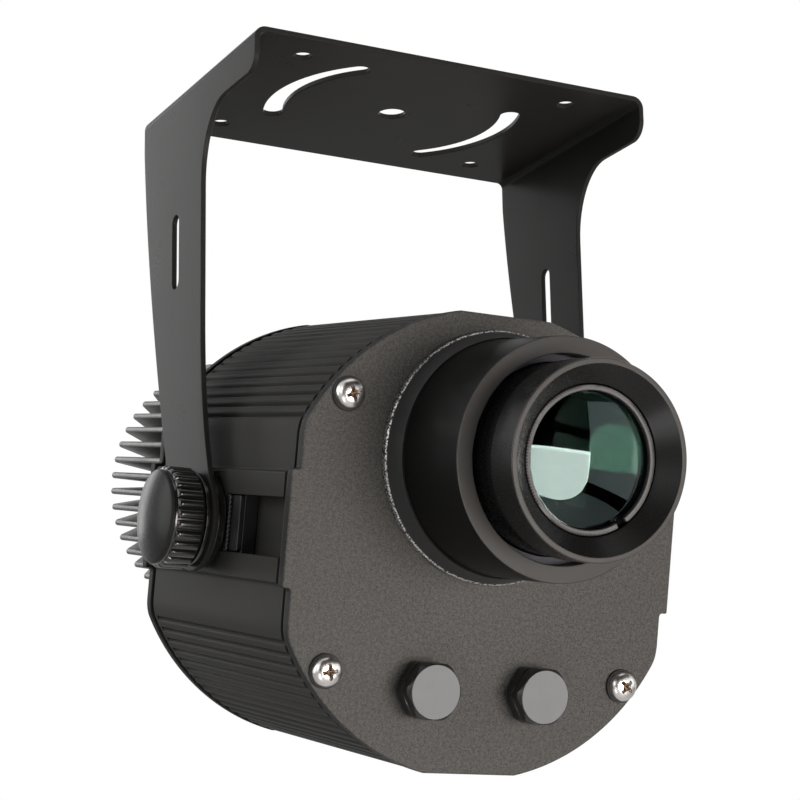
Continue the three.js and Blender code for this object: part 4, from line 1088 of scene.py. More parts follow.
def case_outline(inset, ear_half, corner, rail=False):
    """Circle cut by flats, an ear on each side, and the rail's slot."""
    radius, top, side, ear = (
        size - inset for size in (OUTLINE_RADIUS, FLAT_TOP, FLAT_SIDE, EAR_REACH))
    slot = [
        [RAIL_FLOOR, 0], [RAIL_FLOOR, RAIL_UNDERCUT_HALF], [RAIL_LIP_FACE, RAIL_UNDERCUT_HALF],
        [RAIL_LIP_FACE, RAIL_MOUTH_HALF], [ear, RAIL_MOUTH_HALF],
    ] if rail else []
    sharp = np.array(slot + [[ear, ear_half], [side, ear_half]])
    rounds = [0.3] * len(slot) + [EAR_CORNER * 0.5, EAR_CORNER]
    bend = corner(radius, math.acos(side / radius), math.asin(top / radius))
    quarter = np.concatenate([sharp, bend])
    reach = np.concatenate([rounds, [1.0 if rail else 2.5], np.zeros(len(bend) - 1)])
    half = np.concatenate([quarter, quarter[::-1] * (-1, 1)])
    whole = np.concatenate([half, half[::-1] * (1, -1)])
    reach = np.concatenate([reach, reach[::-1]] * 2)
    single = distinct(whole)
    outline = rounded(whole[single], reach[single], 6)
    return outline[distinct(outline)]


def cavity_loop():
    """Cavity with the screw bosses: the least radius of its wall, sides and bosses."""
    angle = np.linspace(0, TURN, 720, endpoint=False)
    distance = math.hypot(*SCREW_PLACE)
    folded = np.abs((angle + math.pi) % TURN - math.pi)
    folded = np.where(folded > math.pi / 2, math.pi - folded, folded)
    off = folded - math.atan2(SCREW_PLACE[1], SCREW_PLACE[0])
    inside = BOSS_RADIUS ** 2 - (distance * np.sin(off)) ** 2
    near = distance * np.cos(off) - np.sqrt(np.maximum(inside, 0))
    boss = np.where(inside > 0, near, CAVITY_RADIUS)
    wall = np.minimum(CAVITY_RADIUS, CAVITY_SIDE / np.maximum(np.abs(np.cos(angle)), 0.01))
    return polar(np.minimum(wall, boss), angle)[::-1]


def screw_holes():
    """The four screw holes."""
    side, rise = SCREW_PLACE
    return [circle(SCREW_HOLE, 32, (x * side, z * rise)) for x in (-1, 1) for z in (-1, 1)]


# Screws ----------------------------------------------------------------------


def recess_depth(x, z):
    """Cross recess: the deepest of two slots and a pit.

    A slot is l^0.55 w^0.4 deep, with l = 1 - (along / reach)^2.2 and
    w = 1 - (across / width)^3. Its width grows with l, from 0.52 to 0.7.
    """
    def slot(along, across):
        length = np.clip(1 - (np.abs(along) / RECESS_REACH) ** 2.2, 0, 1)
        width = np.clip(1 - (np.abs(across) / (0.52 + 0.18 * length)) ** 3, 0, 1)
        return length ** 0.55 * width ** 0.4
    centre = np.clip(1 - np.hypot(x, z) / 1.5, 0, 1) * 0.9
    return RECESS_DEPTH * np.maximum(np.maximum(slot(x, z), slot(z, x)), centre ** 0.7)


def screw_surface(turn):
    """Pan head screw about an axis, its head towards -along.

    The head is a dome, h = H (1 - (r / R)^2.8)^0.45, less the recess's depth.
    """
    middle = np.linspace(0, RECESS_EDGE, 34)
    r = np.concatenate([middle, np.linspace(RECESS_EDGE, SCREW_HEAD, 16)[1:]])
    dome = SCREW_HEAD_HEIGHT * np.clip(1 - (r / SCREW_HEAD) ** 2.8, 0, 1) ** 0.45 + 0.35
    side = np.array([
        [SCREW_HEAD, 0.1], [SCREW_HEAD - 0.12, 0.0], [SCREW_SHANK + 0.3, 0.0],
        [SCREW_SHANK, -0.3], [SCREW_SHANK, -SCREW_LENGTH + 0.6],
        [SCREW_SHANK - 0.6, -SCREW_LENGTH], [0, -SCREW_LENGTH],
    ])
    angle = around(96)
    x, z = np.moveaxis(polar(r, angle[:, None] - turn), -1, 0)
    heights = np.tile(np.concatenate([dome, side[:, 1]]), (len(angle), 1))
    heights[:, :len(r)] -= recess_depth(x, z)
    radii = np.tile(np.concatenate([r, side[:, 0]]), (len(angle), 1))
    return spun(-heights, radii, angle)


# Lens and covers -------------------------------------------------------------


def turned_piece(name, profile, body, look, node, slot, steps=160, crease=35.0):
    """A piece turned about the lens's axis, its profile measured from the plate's face."""
    points = turned(np.asarray(profile) + (0.0, PLATE_FRONT), steps)
    return shell(name, along_y(points, LENS_AXIS), body, look, node, slot, crease)


def lens_profile(radius, clear, edge, front_crown, rear_crown, front):
    """Lens section: spheres of sag c - R + sqrt(R^2 - r^2) within the clear radius."""
    def sag(crown, r):
        if crown == 0:
            return np.zeros_like(r)
        sphere = (clear ** 2 + crown ** 2) / (2 * crown)
        return crown - sphere + np.sqrt(sphere ** 2 - r ** 2)
    r = np.linspace(0, clear, 28)
    face = np.stack([r, front - sag(front_crown, r)], -1)
    back = np.stack([r, front + edge + sag(rear_crown, r)], -1)[::-1]
    rim = [[radius - 0.15, front], [radius, front + 0.15],
           [radius, front + edge - 0.15], [radius - 0.15, front + edge]]
    return np.concatenate([face, rim, back])


def split_ring():
    """Retaining ring, open by a gap, its ends drawn together to a point.

    The section at share u is scaled about its middle by the root of
    1 - (1 - u / e)^2 within the last share e at each end. Fine notches ride
    on its outer edge.
    """
    middle, gap = RING_GAP
    half = math.asin(gap / 2 / RING_OUTER)
    start = math.radians(-middle) + half
    angle = np.linspace(start, start + TURN - 2 * half, RING_STEPS)
    inner, front = RING_OUTER - RING_WIDTH, PLATE_FRONT - RING_FRONT
    rear = front + RING_THICKNESS
    corners = [[inner, front], [RING_OUTER, front], [RING_OUTER, rear], [inner, rear]]
    section = rounded(corners, 0.4, 5)
    share = np.linspace(0, 1, RING_STEPS)
    nearest = np.clip(np.minimum(share, 1 - share) / 0.004, 0, 1)
    size = np.sqrt(np.clip(1 - (1 - nearest) ** 2, 0, 1))
    centre = section.mean(0)
    shape = centre + (section - centre) * size[:, None, None]
    notch = 0.06 * np.sin(angle * RING_NOTCHES)[:, None] * (section[:, 1] < front + 0.5)
    return spun(shape[..., 1], shape[..., 0] + notch * size[:, None], -angle)


def cover_surface(top, foot):
    """Cover of two stacked hexagons: r = min(hexagon, turned profile)."""
    mid = (top + foot) / 2
    wide = COVER_CORNER + 0.4
    neck = COVER_CORNER - 1.2
    profile = rounded([
        [0, top], [COVER_FACE - 0.15, top], [COVER_FACE + 0.05, top + 0.12],
        [COVER_CORNER, top + 1.25], [wide, top + 1.6], [wide, mid - 0.55], [neck, mid - 0.05],
        [neck, mid + 0.05], [wide, mid + 0.55], [wide, foot - 0.6], [COVER_CORNER - 0.2, foot],
        [COVER_BORE, foot], [COVER_BORE, top + 1.6], [0, top + 1.6],
    ], [0, 0.08, 0.08, 0.3, 0.3, 0.2, 0.05, 0.05, 0.2, 0.3, 0.2, 0.2, 0.2, 0], 5)
    angle = around(COVER_STEPS)
    radius = np.minimum(profile[:, 0], hexagon(COVER_FLATS / 2, angle)[:, None])
    return spun(profile[:, 1], radius, angle)


# Operators -------------------------------------------------------------------


class MakeBracket(bpy.types.Operator):
    """Build the bent sheet of the hanging bracket"""

    bl_idname = "projector.bracket"
    bl_label = "Hanging bracket"

    def execute(self, context):
        sizes = context.scene.projector_sizes
        piece("bracket_sheet", bracket_sheet(sizes.sheet_edge / MM), "bracket", "bracket coat",
              "hanging_bracket", "bracket_paint", 50.0)
        return {"FINISHED"}


class MakeKnobs(bpy.types.Operator):
    """Build the two clamp knobs with their caps, washers and studs"""

    bl_idname = "projector.knobs"
    bl_label = "Clamp knobs"

    def execute(self, context):
        sizes = context.scene.projector_sizes
        for side, sign in SIDES:
            foot, tip = x_span(f"{side}_clamp_knob")
            cap_top = x_span(f"{side}_knob_cap")[1]
            rim = knob_flutes(foot, tip - foot, sizes.knob_flutes)
            dome = turned(dome_profile(tip - 0.05, tip + 1.0, cap_top, KNOB_CAP), 128)
            stud = threaded(*x_span(f"{side}_clamp_stud"), STUD_RADIUS, STUD_PITCH, STUD_DEPTH)
            washer = turned(
                ring_profile(STUD_BORE, KNOB_WASHER, *x_span(f"{side}_knob_washer"), 0.35))
            for name, points, body, look, node, slot in (
                ("knob_flutes", rim, "knob", "knob plastic", "clamp_knob", "black_plastic"),
                ("knob_dome", dome, "knob", "dome plastic", "knob_cap", "grey_cap"),
                ("knob_stud_thread", stud, "knob", "steel", "clamp_stud", "bright_steel"),
                ("knob_foot_washer", washer, "knob_carrier", "knob plastic", "knob_washer",
                 "black_plastic"),
            ):
                shell(f"{side}_{name}", along_x(points, sign) + PIVOT, f"{side}_{body}", look,
                      f"{side}_{node}", slot, 40.0)
        return {"FINISHED"}


class MakeRailFittings(bpy.types.Operator):
    """Build the slide blocks, lock plates and spacer discs"""

    bl_idname = "projector.rail_fittings"
    bl_label = "Rail fittings"

    def execute(self, context):
        for side, sign in SIDES:
            disc = turned(ring_profile(STUD_BORE, SPACER, *x_span(f"{side}_spacer_disc"), 0.6))
            shell(f"{side}_spacer_ring", in_pose(along_x(disc, sign)), "trunnion",
                  "knob plastic", f"{side}_spacer_disc", "black_plastic")
            for name, draw, look, node, slot in (
                ("rail_block", stepped_block, "dark steel", "slide_block", "dark_steel"),
                ("toothed_plate", toothed_plate, "edge steel", "lock_plate", "bright_steel"),
            ):
                points, faces = draw(*x_span(f"{side}_{node}"))
                name = f"{side}_{name}"
                mesh = finished_mesh(name, in_pose(along_x(points, sign)), faces)
                piece(name, mesh, "trunnion", look, f"{side}_{node}", slot)
        return {"FINISHED"}


class MakeHousing(bpy.types.Operator):
    """Build the ribbed housing with its clamp rails"""

    bl_idname = "projector.housing"
    bl_label = "Ribbed housing"

    def execute(self, context):
        outline = case_outline(PLATE_INSET, RAIL_HALF, ribbed_arc, rail=True)
        prism("housing_ribbed", [outline, cavity_loop(), *screw_holes()],
              HOUSING_FRONT, HOUSING_REAR, 0.15, 3,
              "head", "housing coat", "housing_extrusion", "housing_aluminium", 32.0)
        return {"FINISHED"}


class MakePlates(bpy.types.Operator):
    """Build the end plates and their gaskets"""

    bl_idname = "projector.plates"
    bl_label = "End plates and gaskets"

    def execute(self, context):
        sizes = context.scene.projector_sizes
        edge = sizes.plate_edge / MM
        outline = case_outline(0.0, EAR_HALF, corner_arc)
        necks = [circle(COVER_NECK_HOLE, 32, joint_place(f"{side}_cover_turn")[[0, 2]])
                 for side, _ in SIDES]
        bore = circle(COLLAR_SPIGOT + 0.3, 96, LENS_AXIS)
        plate = prism("front_face_plate", [outline, bore, *necks, *screw_holes()],
                      PLATE_FRONT, PLATE_REAR, edge, 6,
                      "head", "plate coat", "front_plate", "plate_texture")
        # Painted shade: the front plate's edges get the darker copy of its coat.
        two_finishes(plate, "plate edge", lambda x, y, z: y > PLATE_FRONT + 0.8 * edge)
        # The plate's rear edge is painted as rubber: partly the gasket pressed out of the joint,
        # partly painted shade in the joint.
        two_finishes(plate, "rubber", lambda x, y, z: (
            (y > PLATE_REAR - 0.9 * edge) & (np.hypot(x, z) > CAVITY_SIDE)))
        holes = [circle(radius, 32, box_centre(name))
                 for name, radius in (("cable_gland", GLAND_HOLE), ("vent_plug", VENT_HOLE))]
        plate = prism("rear_end_plate", [outline, *holes, *screw_holes()],
                      REAR_PLATE_FRONT, REAR_PLATE_REAR, edge, 6,
                      "head", "plate coat", "rear_plate", "plate_texture")
        # Painted shade on the rear plate's edges.
        two_finishes(plate, "plate edge", lambda x, y, z: y < REAR_PLATE_REAR - 0.8 * edge)
        seal = case_outline(GASKET_INSET, RAIL_HALF, corner_arc)
        for end in ("front", "rear"):
            low, high = level_box(f"{end}_gasket")
            prism(f"{end}_seal_gasket", [seal, cavity_loop(), *screw_holes()],
                  low[1], high[1], 0.35, 4, "head", "rubber", f"{end}_gasket", "black_rubber")
        return {"FINISHED"}


class MakeScrews(bpy.types.Operator):
    """Build the case screws and their sealing washers"""

    bl_idname = "projector.screws"
    bl_label = "Case screws"

    def execute(self, context):
        sizes = context.scene.projector_sizes
        ring = ring_profile(SCREW_SHANK, WASHER, -0.05, -WASHER_HEIGHT, 0.5)
        for end, face, sign in (("front", PLATE_FRONT, 1), ("rear", REAR_PLATE_REAR, -1)):
            for number, corner in enumerate(CORNERS):
                node = f"{end}_screw_{corner}"
                screw = screw_surface(sizes.screw_turn + number * SCREW_STEP)
                screw[..., 0] -= WASHER_HEIGHT
                for name, points, *described in (
                    (f"{node}_pan_head", screw, "nickel", node, "bright_steel", 30.0),
                    (f"{end}_washer_{corner}", turned(ring, 64), "rubber", None, "black_rubber"),
                ):
                    points[..., 0] = face + sign * points[..., 0]
                    shell(name, along_y(points, box_centre(node)), "head", *described)
        return {"FINISHED"}


class MakeLens(bpy.types.Operator):
    """Build the lens collar, focusing barrel, lenses and retaining ring"""

    bl_idname = "projector.lens"
    bl_label = "Lens collar and barrel"

    def execute(self, context):
        self.make_collar()
        self.make_barrel()
        self.make_lens("front", "front coat glass", 4.2, 3.4, 1.4, "back coat glass")
        self.make_lens("rear", "rear coat glass", 3.6, 3.8, 0.0)
        ring = along_y(split_ring(), LENS_AXIS)
        piece("lens_split_ring", grid_mesh("lens_split_ring", ring, close_rows=False),
              "focus_barrel", "ring metal", "lens_retaining_ring", "bright_steel", 50.0)
        return {"FINISHED"}

    def make_collar(self):
        """Collar: a flange and a cone in front of the plate, then a tube."""
        mouth = MOUTH_DEPTH - COLLAR_REACH
        collar = turned_piece("lens_mount_collar", rounded([
            [BARREL_BORE, COLLAR_TAIL], [COLLAR_SPIGOT, COLLAR_TAIL],
            [COLLAR_SPIGOT, -COLLAR_SEAT], [COLLAR_FLANGE, -COLLAR_SEAT],
            [COLLAR_FLANGE, 0.5 - FLANGE_FACE], [COLLAR_FLANGE - 0.5, -FLANGE_FACE],
            [COLLAR_CONE, -CONE_END], [COLLAR_TUBE, -CONE_END - 0.1],
            [COLLAR_TUBE, -COLLAR_REACH], [COLLAR_BORE, -COLLAR_REACH],
            [COLLAR_BORE, mouth], [BARREL_BORE, mouth],
        ], [0.2, 0.2, 0.2, 0.2, 0.12, 0.12, 0.3, 0.3, 0.45, 0.45, 0.2, 0.2], 5),
            "head", "collar black", "lens_collar", "black_anodised")
        # Painted light: the front face and the cone get lighter copies of the collar's black.
        two_finishes(collar, "collar face", lambda x, y, z: y < PLATE_FRONT - COLLAR_REACH + 0.3)
        two_finishes(collar, "cone face", lambda x, y, z: (
            (y > PLATE_FRONT - CONE_END + 0.1) & (y < PLATE_FRONT - FLANGE_FACE - 0.1)))
        # Painted reflection: the ledge inside the mouth is painted bluish grey.
        two_finishes(collar, "ledge face", lambda x, y, z: np.abs(y - PLATE_FRONT - mouth) < 0.1)

    def make_barrel(self):
        """Barrel: a tube with a groove for its seal, and a wider head with a bevelled mouth."""
        start, end, depth = SEAL_GROOVE
        head = BARREL_HEAD_LENGTH - BARREL_REACH
        stop = LENS_POCKET - POCKET_STOP
        barrel = turned_piece("focusing_barrel", rounded([
            [stop, BARREL_TAIL], [BARREL, BARREL_TAIL],
            [BARREL, -start], [BARREL - depth, -start], [BARREL - depth, -end], [BARREL, -end],
            [BARREL, head], [BARREL_HEAD, head],
            [BARREL_HEAD, -BARREL_REACH], [BARREL_HEAD - BARREL_RIM, -BARREL_REACH],
            [LENS_POCKET + 0.6, -RING_FRONT - 0.45], [LENS_POCKET + 0.2, -RING_FRONT - 0.1],
            [LENS_POCKET, -RING_FRONT + 0.3], [LENS_POCKET, POCKET_END], [stop, POCKET_END],
        ], [0.2, 0.3, 0.2, 0.2, 0.2, 0.2, 0.15, 0.3, 0.5, 0.25, 0.15, 0.1, 0.1, 0.2, 0.2], 5),
            "focus_barrel", "barrel black", "focus_barrel", "black_anodised")
        # Painted light: the barrel's front rim gets a lighter copy of its black.
        two_finishes(barrel, "rim face", lambda x, y, z: (
            (y < PLATE_FRONT - BARREL_REACH + 0.45)
            & (off_lens(x, z) > BARREL_HEAD - BARREL_RIM - 0.1)))
        two_finishes(barrel, "bore black", lambda x, y, z: off_lens(x, z) < LENS_POCKET + 0.1)

    def make_lens(self, end, look, edge, front_crown, rear_crown, back_look=None):
        """Lens from its edge's thickness and its crowns, with a blackened rim."""
        low, high = level_box(f"{end}_lens")
        radius = (high[0] - low[0]) / 2
        clear = radius - LENS_RIM
        front = low[1] + front_crown - PLATE_FRONT
        lens = turned_piece(
            f"{end}_lens_glass", lens_profile(radius, clear, edge, front_crown, rear_crown, front),
            "focus_barrel", look, f"{end}_lens", "lens_glass", 96, 20.0)
        if back_look:
            two_finishes(lens, back_look, lambda x, y, z: y > PLATE_FRONT + front + edge / 2)
        two_finishes(lens, "bore black", lambda x, y, z: off_lens(x, z) > clear + 0.3)


class MakeCovers(bpy.types.Operator):
    """Build the two control covers and their seals"""

    bl_idname = "projector.covers"
    bl_label = "Control covers"

    def execute(self, context):
        for side, _ in SIDES:
            centre = joint_place(f"{side}_cover_turn")[[0, 2]]
            low, high = level_box(f"{side}_control_cover")
            cover = shell(f"{side}_hex_cover", along_y(cover_surface(low[1], high[1]), centre),
                          f"{side}_cover", "cover plastic", f"{side}_control_cover",
                          "black_plastic", 24.0)
            two_finishes(cover, "cover face", lambda x, y, z: y < low[1] + 0.05)
            low, high = level_box(f"{side}_cover_seal")
            ring = turned(ring_profile(COVER_BORE, COVER_SEAL, low[1], high[1], 0.3), 64)
            shell(f"{side}_cover_washer", along_y(ring, centre), f"{side}_cover_travel",
                  "rubber", f"{side}_cover_seal", "black_rubber")
        return {"FINISHED"}


class MakeHeatSink(bpy.types.Operator):
    """Build the heat sink with its radial fins"""

    bl_idname = "projector.heat_sink"
    bl_label = "Heat sink"

    def execute(self, context):
        low, high = level_box("heat_sink")
        half = FIN / 2
        flank = np.array([[0.2, half + 0.9], [0.7, half + 0.3], [2.0, half + 0.05]])
        flank += (SINK_CORE, 0.0)
        tip = arc(half, -math.pi / 2, math.pi / 2, 9) + (SINK_TIP - half, 0.0)
        x, z = np.concatenate([flank * (1, -1), tip, flank[::-1]]).T
        # The outline is one fin's, turned about the core to each fin's angle.
        middle = around(SINK_FINS)[:, None] + math.radians(180 - SINK_PHASE)
        c, s = np.cos(middle), np.sin(middle)
        outline = np.stack([c * x - s * z, s * x + c * z], -1).reshape(-1, 2)
        prism("finned_heat_sink", [outline + box_centre("heat_sink")], low[1], high[1], 0.25, 3,
              "head", "sink metal", "heat_sink", "sink_aluminium")
        return {"FINISHED"}


class MakeRearFittings(bpy.types.Operator):
    """Build the cable gland and the vent plug of the rear plate"""

    bl_idname = "projector.rear_fittings"
    bl_label = "Rear fittings"

    def execute(self, context):
        start = REAR_PLATE_REAR
        low, high = level_box("cable_gland")
        profile = rounded([
            [4.6, low[1]], [7.7, low[1]], [7.7, start + 0.3], [11.6, start + 0.3],
            [11.6, start + 5.8], [9.0, start + 6.2], [9.0, start + 12.6], [6.3, high[1]],
            [4.6, high[1]],
        ], [0.3, 0.3, 0.1, 0.5, 0.6, 0.3, 1.2, 0.7, 0.3])
        angle = around(GLAND_RIBS * 8)
        # Nut: r (1 - 0.035 sqrt((1 - cos n a) / 2)). Foot: r = min(profile, hexagon).
        ribs = 1 - 0.035 * (0.5 - 0.5 * np.cos(angle * GLAND_RIBS)) ** 0.5
        body, place = profile.T
        nut = (place > start + 6.0) & (body > 5.5)
        foot = np.minimum(body, hexagon(GLAND_HALF_FLATS, angle)[:, None])
        gland = spun(place, np.where(nut, body * ribs[:, None], foot), angle)
        low, high = level_box("vent_plug")
        profile = rounded([
            [0, low[1]], [5.7, low[1]], [5.7, start + 0.3], [8.4, start + 0.3],
            [8.4, start + 3.4], [6.9, high[1]], [4.2, high[1]], [3.9, high[1] - 0.8],
            [0, high[1] - 0.8],
        ], [0, 0.3, 0.1, 0.4, 0.8, 0.8, 0.2, 0.2, 0])
        angle = around(VENT_STEPS)
        # Grip: r (1 - 0.02 (1 + cos n a) / 2).
        grip = 1 - 0.02 * (0.5 + 0.5 * np.cos(angle * VENT_RIBS))
        body, place = profile.T
        vent = spun(place, body * np.where(body > 6.5, grip[:, None], 1.0), angle)
        for name, points, node in (
            ("gland_body", gland, "cable_gland"), ("vent_plug_body", vent, "vent_plug"),
        ):
            shell(name, along_y(points, box_centre(node)), "head", "black plastic", node,
                  "black_plastic")
        return {"FINISHED"}


INNER_FINISHES = {
    "focus_seal_ring": "rubber",
    "lens_spacer_tube": "bore black",
    "led_board": "board white",
    "led_emitter": "led yellow",
    "gobo_stage_plate": "dark steel",
    "gobo_bearing": "brass",
    "gobo_holder_gear": "gear plastic",
    "gobo_disc": "dark steel",
    "gobo_clip_ring": "steel",
    "gobo_motor": "steel",
    "motor_pinion": "brass",
    "condenser_tube": "black plastic",
    "front_condenser_lens": "condenser glass",
    "rear_condenser_lens": "condenser glass",
    "driver_tray": "black plastic",
    "driver_board": "board green",
    "left_control_body": "steel",
    "right_control_body": "steel",
    "left_control_shaft": "brass",
    "right_control_shaft": "brass",
}


class FinishInside(bpy.types.Operator):
    """Give the CAD pieces inside the projector their finishes"""

    bl_idname = "projector.inside"
    bl_label = "Inner finishes"

    def execute(self, context):
        for node, look in INNER_FINISHES.items():
            mesh = frame["nodes"][node].data
            mesh.materials.clear()
            mesh.materials.append(finish(look))
        return {"FINISHED"}


# Stage -----------------------------------------------------------------------


def direction(azimuth, elevation):
    """Unit vector away from the projector: (sin a cos e, -cos a cos e, sin e)."""
    flat = np.cos(elevation)
    return np.stack([np.sin(azimuth) * flat, -np.cos(azimuth) * flat, np.sin(elevation)], -1)


def facing(azimuth, elevation, distance):
    """Where a lamp stands to face the projector, as a matrix."""
    away = Vector(direction(math.radians(azimuth), math.radians(elevation)))
    turn = away.to_track_quat("Z", "Y").to_matrix().to_4x4()
    return Matrix.Translation(Vector(MIDDLE) + away * distance) @ turn


def softbox(name, azimuth, elevation, distance, size, radiance):
    """Area lamp that faces the projector, with the brightness of its face."""
    lamp = bpy.data.lights.new(name, "AREA")
    lamp.shape = "RECTANGLE"
    lamp.size, lamp.size_y = size
    lamp.energy = radiance * math.pi * size[0] * size[1]
    lamp.spread = math.radians(LAMP_SPREAD)
    holder = linked(bpy.data.objects.new(name, lamp))
    holder.matrix_world = facing(azimuth, elevation, distance)


def glow(name, color, radiance):
    """Plain emission, the finish of a lamp's face."""
    light = bpy.data.materials.new(name)
    light.use_nodes = True
    tree = light.node_tree
    tree.nodes.clear()
    face = added(
        tree, "ShaderNodeEmission", {}, {"Color": (*color, 1.0), "Strength": radiance})
    out = tree.nodes.new("ShaderNodeOutputMaterial")
    tree.links.new(face.socket, out.inputs["Surface"])
    return light


def window_lamp(azimuth, elevation, distance, size, color, radiance):
    """Glowing face of the lamp that the lens mirrors: square above, round below.

    Its lower half follows x = w cos a, z = h sin a, and a brighter border runs
    along its top and its right side.
    """
    width, height = size
    left, right, top, edge = -width / 2, width / 2, height * 0.55, height * 0.07
    corners = [
        [left, top], [right, top], [right + edge / 2, top], [right + edge / 2, 0], [right, 0],
        [right, top + edge], [left, top + edge], [right + edge / 2, top + edge],
    ]
    low = arc(1.0, 0.0, -math.pi, 25) * (right, height * 0.45)
    face = np.concatenate([corners, low])
    spot = facing(azimuth, elevation, distance)
    points = np.array([spot @ Vector((x, y, 0.0)) for x, y in face]) / MM
    main = [0, 1, *range(len(corners), len(face))]
    mesh = finished_mesh("Window lamp", points, [main, [0, 1, 5, 6], [1, 2, 7, 5], [1, 4, 3, 2]])
    mesh.materials.append(glow("Lamp face", color, radiance))
    mesh.materials.append(glow("Lamp border", color, radiance * 1.5))
    for part in mesh.polygons:
        part.material_index = int(len(part.vertices) == 4)
    lamp = linked(bpy.data.objects.new("Window lamp", mesh))
    lamp.visible_camera = False
    lamp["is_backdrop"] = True


def dark_flag(azimuths, elevations, radius):
    """Black cloth behind the lamps, part of a sphere, so that the lens mirrors a dark room."""
    grid = np.meshgrid(
        np.radians(np.linspace(*azimuths, 13)), np.radians(np.linspace(*elevations, 9)),
        indexing="ij")
    sphere = direction(*grid) * radius / MM
    flag = linked(bpy.data.objects.new("Dark flag", grid_mesh("Dark flag", sphere, False, False)))
    cloth = Finish("Flag cloth", grey(0.01), 0.9, level_with_head=False, Specular_IOR_Level=0.0)
    cloth.paint(cloth.noise(60.0), grey(0.008), grey(0.012))
    flag.data.materials.append(cloth.material)
    flag.visible_camera = False
    flag.visible_diffuse = False
    flag.visible_shadow = False
    flag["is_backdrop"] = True


def seen_pale(tree, share, shader, pale, surface):
    """Mixes a pale shader into what the camera sees, directly, by mirror or through glass."""
    camera, glossy, through = (
        added(tree, "ShaderNodeLightPath", {}, {}, f"Is {ray} Ray")
        for ray in ("Camera", "Glossy", "Transmission"))
    rays = (camera + glossy + through) * share
    mix = added(tree, "ShaderNodeMixShader", {}, {0: rays, 1: shader, 2: pale})
    tree.links.new(mix.socket, surface)


def make_floor(place, half):
    """A plain pale floor, a good part of it plain white to the camera."""
    corners = np.array([[-half, -half], [half, -half], [half, half], [-half, half]])
    points = np.insert(corners, 2, place, 1) / MM
    floor = linked(bpy.data.objects.new("floor", finished_mesh("floor", points, [[0, 1, 2, 3]])))
    paper = Finish("Floor paper", grey(0.8), 0.7, level_with_head=False)
    paper.paint(paper.noise(40.0), grey(0.78), grey(0.82))
    white = added(paper.tree, "ShaderNodeEmission", {}, {"Strength": 1.0})
    seen_pale(paper.tree, FLOOR_SHARE, Value(paper.tree, paper.shader.outputs[0]), white,
              paper.tree.nodes["Material Output"].inputs["Surface"])
    floor.data.materials.append(paper.material)
    floor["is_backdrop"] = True


def make_surround(shade):
    """A white background over a dim surround."""
    world = bpy.data.worlds.new("White surround")
    bpy.context.scene.world = world
    world.use_nodes = True
    tree = world.node_tree
    tree.nodes.clear()
    dim, white = (
        added(tree, "ShaderNodeBackground", {}, {"Color": (*grey(part), 1.0)})
        for part in (shade, 1.0))
    seen_pale(tree, 1.0, dim, white, tree.nodes.new("ShaderNodeOutputWorld").inputs["Surface"])


def make_camera(place, aim, lens):
    """The photograph's camera, from its azimuth, elevation and roll."""
    camera = bpy.data.cameras.new("Photo camera")
    camera.sensor_fit = "HORIZONTAL"
    camera.sensor_width = 36.0
    camera.lens = lens
    camera.clip_end = 100.0
    holder = linked(bpy.data.objects.new("Photo camera", camera))
    azimuth, elevation, roll = (math.radians(angle) for angle in aim)
    back = Vector(direction(azimuth, elevation))
    right = (-back).cross(Vector((0, 0, 1))).normalized()
    up = right.cross(-back)
    c, s = math.cos(roll), math.sin(roll)
    turn = Matrix((c * right + s * up, c * up - s * right, back)).transposed()
    holder.matrix_world = Matrix.Translation(Vector(place)) @ turn.to_4x4()
    bpy.context.scene.camera = holder


class MakeStage(bpy.types.Operator):
    """Set the floor, the white surround, the lamps and the camera"""

    bl_idname = "projector.stage"
    bl_label = "Floor, lamps and camera"

    def execute(self, context):
        scene = context.scene
        stage = scene.projector_stage
        make_floor(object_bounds()[0][2] - stage.floor_drop, FLOOR_HALF)
        make_surround(stage.surround)
        dark_flag(*FLAG)
        window_lamp(*WINDOW, stage.window)
        for lamp in LAMPS:
            softbox(*lamp)
        make_camera(stage.camera_place, stage.aim, stage.lens)
        scene.view_settings.view_transform = "Standard"
        return {"FINISHED"}


# Settings and panel ----------------------------------------------------------


def length(name, description, default):
    """A setting in metres."""
    return FloatProperty(name=name, description=description, default=default, unit="LENGTH")


def color(name, description, *default):
    """A linear colour."""
    return FloatVectorProperty(
        name=name, description=description, default=default,
        subtype="COLOR", size=3, min=0.0, max=1.0)


class ProjectorSizes(bpy.types.PropertyGroup):
    """Sizes that change how finely the projector is drawn"""

    sheet_edge: length("Sheet edge", "Rounding of the bracket's edges", 0.35 * MM)
    plate_edge: length("Plate edge", "Rounding of the end plates' edges", 0.6 * MM)
    rib_depth: length("Rib depth", "Depth of the grooves between ribs", 1.55 * MM)
    groove_sharpness: FloatProperty(
        name="Groove sharpness", description="Higher values draw narrower grooves", default=3.2)
    knob_flutes: IntProperty(
        name="Knob flutes", description="Bars round the rim of a clamp knob", default=28)
    screw_turn: FloatProperty(
        name="Screw turn", description="Angle of the first screw's recess", default=0.35,
        subtype="ANGLE")


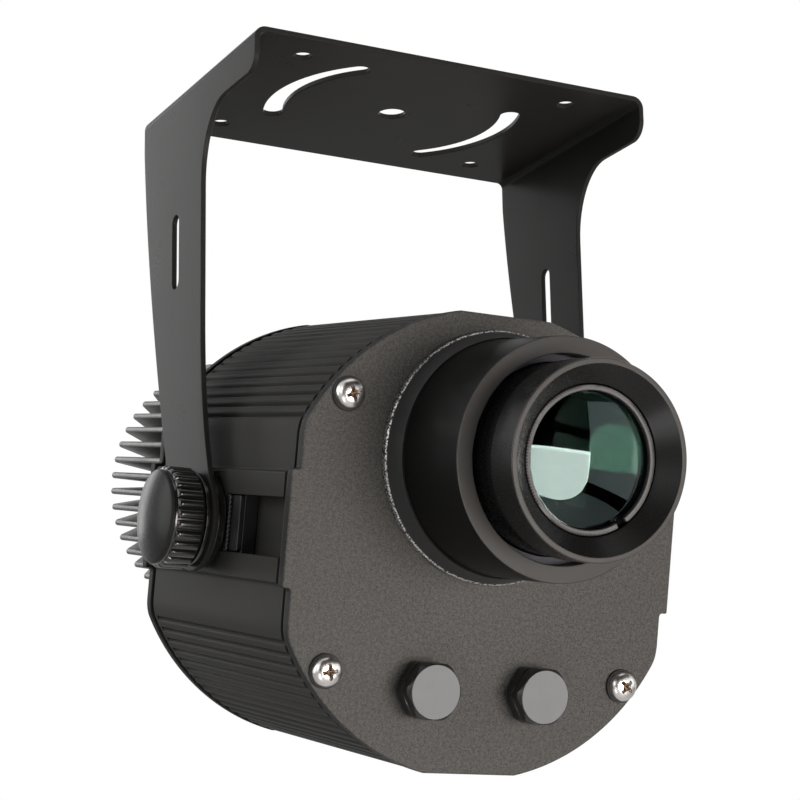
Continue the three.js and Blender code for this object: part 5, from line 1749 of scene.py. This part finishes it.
class ProjectorLook(bpy.types.PropertyGroup):
    """Colours of the painted and plastic surfaces"""

    bracket_color: color("Bracket", "Paint of the bracket", 0.0175, 0.0172, 0.0166)
    housing_color: color("Housing", "Paint of the housing", 0.023, 0.0225, 0.0208)
    plate_color: color("End plates", "Structured paint of the end plates", 0.044, 0.0428, 0.0402)
    cover_face_color: color("Cover faces", "Faces of the control covers", 0.105, 0.107, 0.112)
    sink_color: color("Heat sink", "Metal of the heat sink", 0.03, 0.0296, 0.0282)


class ProjectorStage(bpy.types.PropertyGroup):
    """Camera, floor and surround"""

    camera_place: FloatVectorProperty(
        name="Camera place", description="Where the camera stands",
        default=(-0.39805, -0.74971, -0.33047), subtype="XYZ", unit="LENGTH", size=3)
    aim: FloatVectorProperty(
        name="Camera aim", description="Azimuth, elevation and roll in degrees",
        default=(-28.051, -14.073, -0.990), size=3)
    lens: FloatProperty(
        name="Lens", description="Focal length in millimetres", default=103.575)
    floor_drop: length("Floor drop", "Floor below the projector's lowest point", 0.8)
    surround: FloatProperty(
        name="Surround", description="Grey of the surround in diffuse light", default=0.05)
    window: FloatProperty(
        name="Window lamp", description="Brightness of the lamp that the lens mirrors",
        default=18.0)


PIECE_OPERATORS = (
    MakeBracket, MakeKnobs, MakeRailFittings, MakeHousing, MakePlates, MakeScrews,
    MakeLens, MakeCovers, MakeHeatSink, MakeRearFittings, FinishInside, MakeStage,
)
SETTINGS = {
    "projector_sizes": ProjectorSizes,
    "projector_look": ProjectorLook,
    "projector_stage": ProjectorStage,
}


class ProjectorPanel(bpy.types.Panel):
    """Lists what can be built"""

    bl_idname = "VIEW3D_PT_projector"
    bl_label = "Gobo projector"
    bl_space_type = "VIEW_3D"
    bl_region_type = "UI"
    bl_category = "Projector"

    def draw(self, context):
        column = self.layout.column(align=True)
        for operator in PIECE_OPERATORS:
            column.operator(operator.bl_idname)


CLASSES = (*SETTINGS.values(), *PIECE_OPERATORS, ProjectorPanel)


def register():
    for made in CLASSES:
        bpy.utils.register_class(made)
    for name, group in SETTINGS.items():
        setattr(bpy.types.Scene, name, PointerProperty(type=group))


def unregister():
    for name in SETTINGS:
        delattr(bpy.types.Scene, name)
    for made in reversed(CLASSES):
        bpy.utils.unregister_class(made)


def main():
    register()
    for operator in PIECE_OPERATORS:
        group, name = operator.bl_idname.split(".")
        getattr(getattr(bpy.ops, group), name)()
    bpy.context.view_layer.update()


if __name__ == "__main__":
    main()
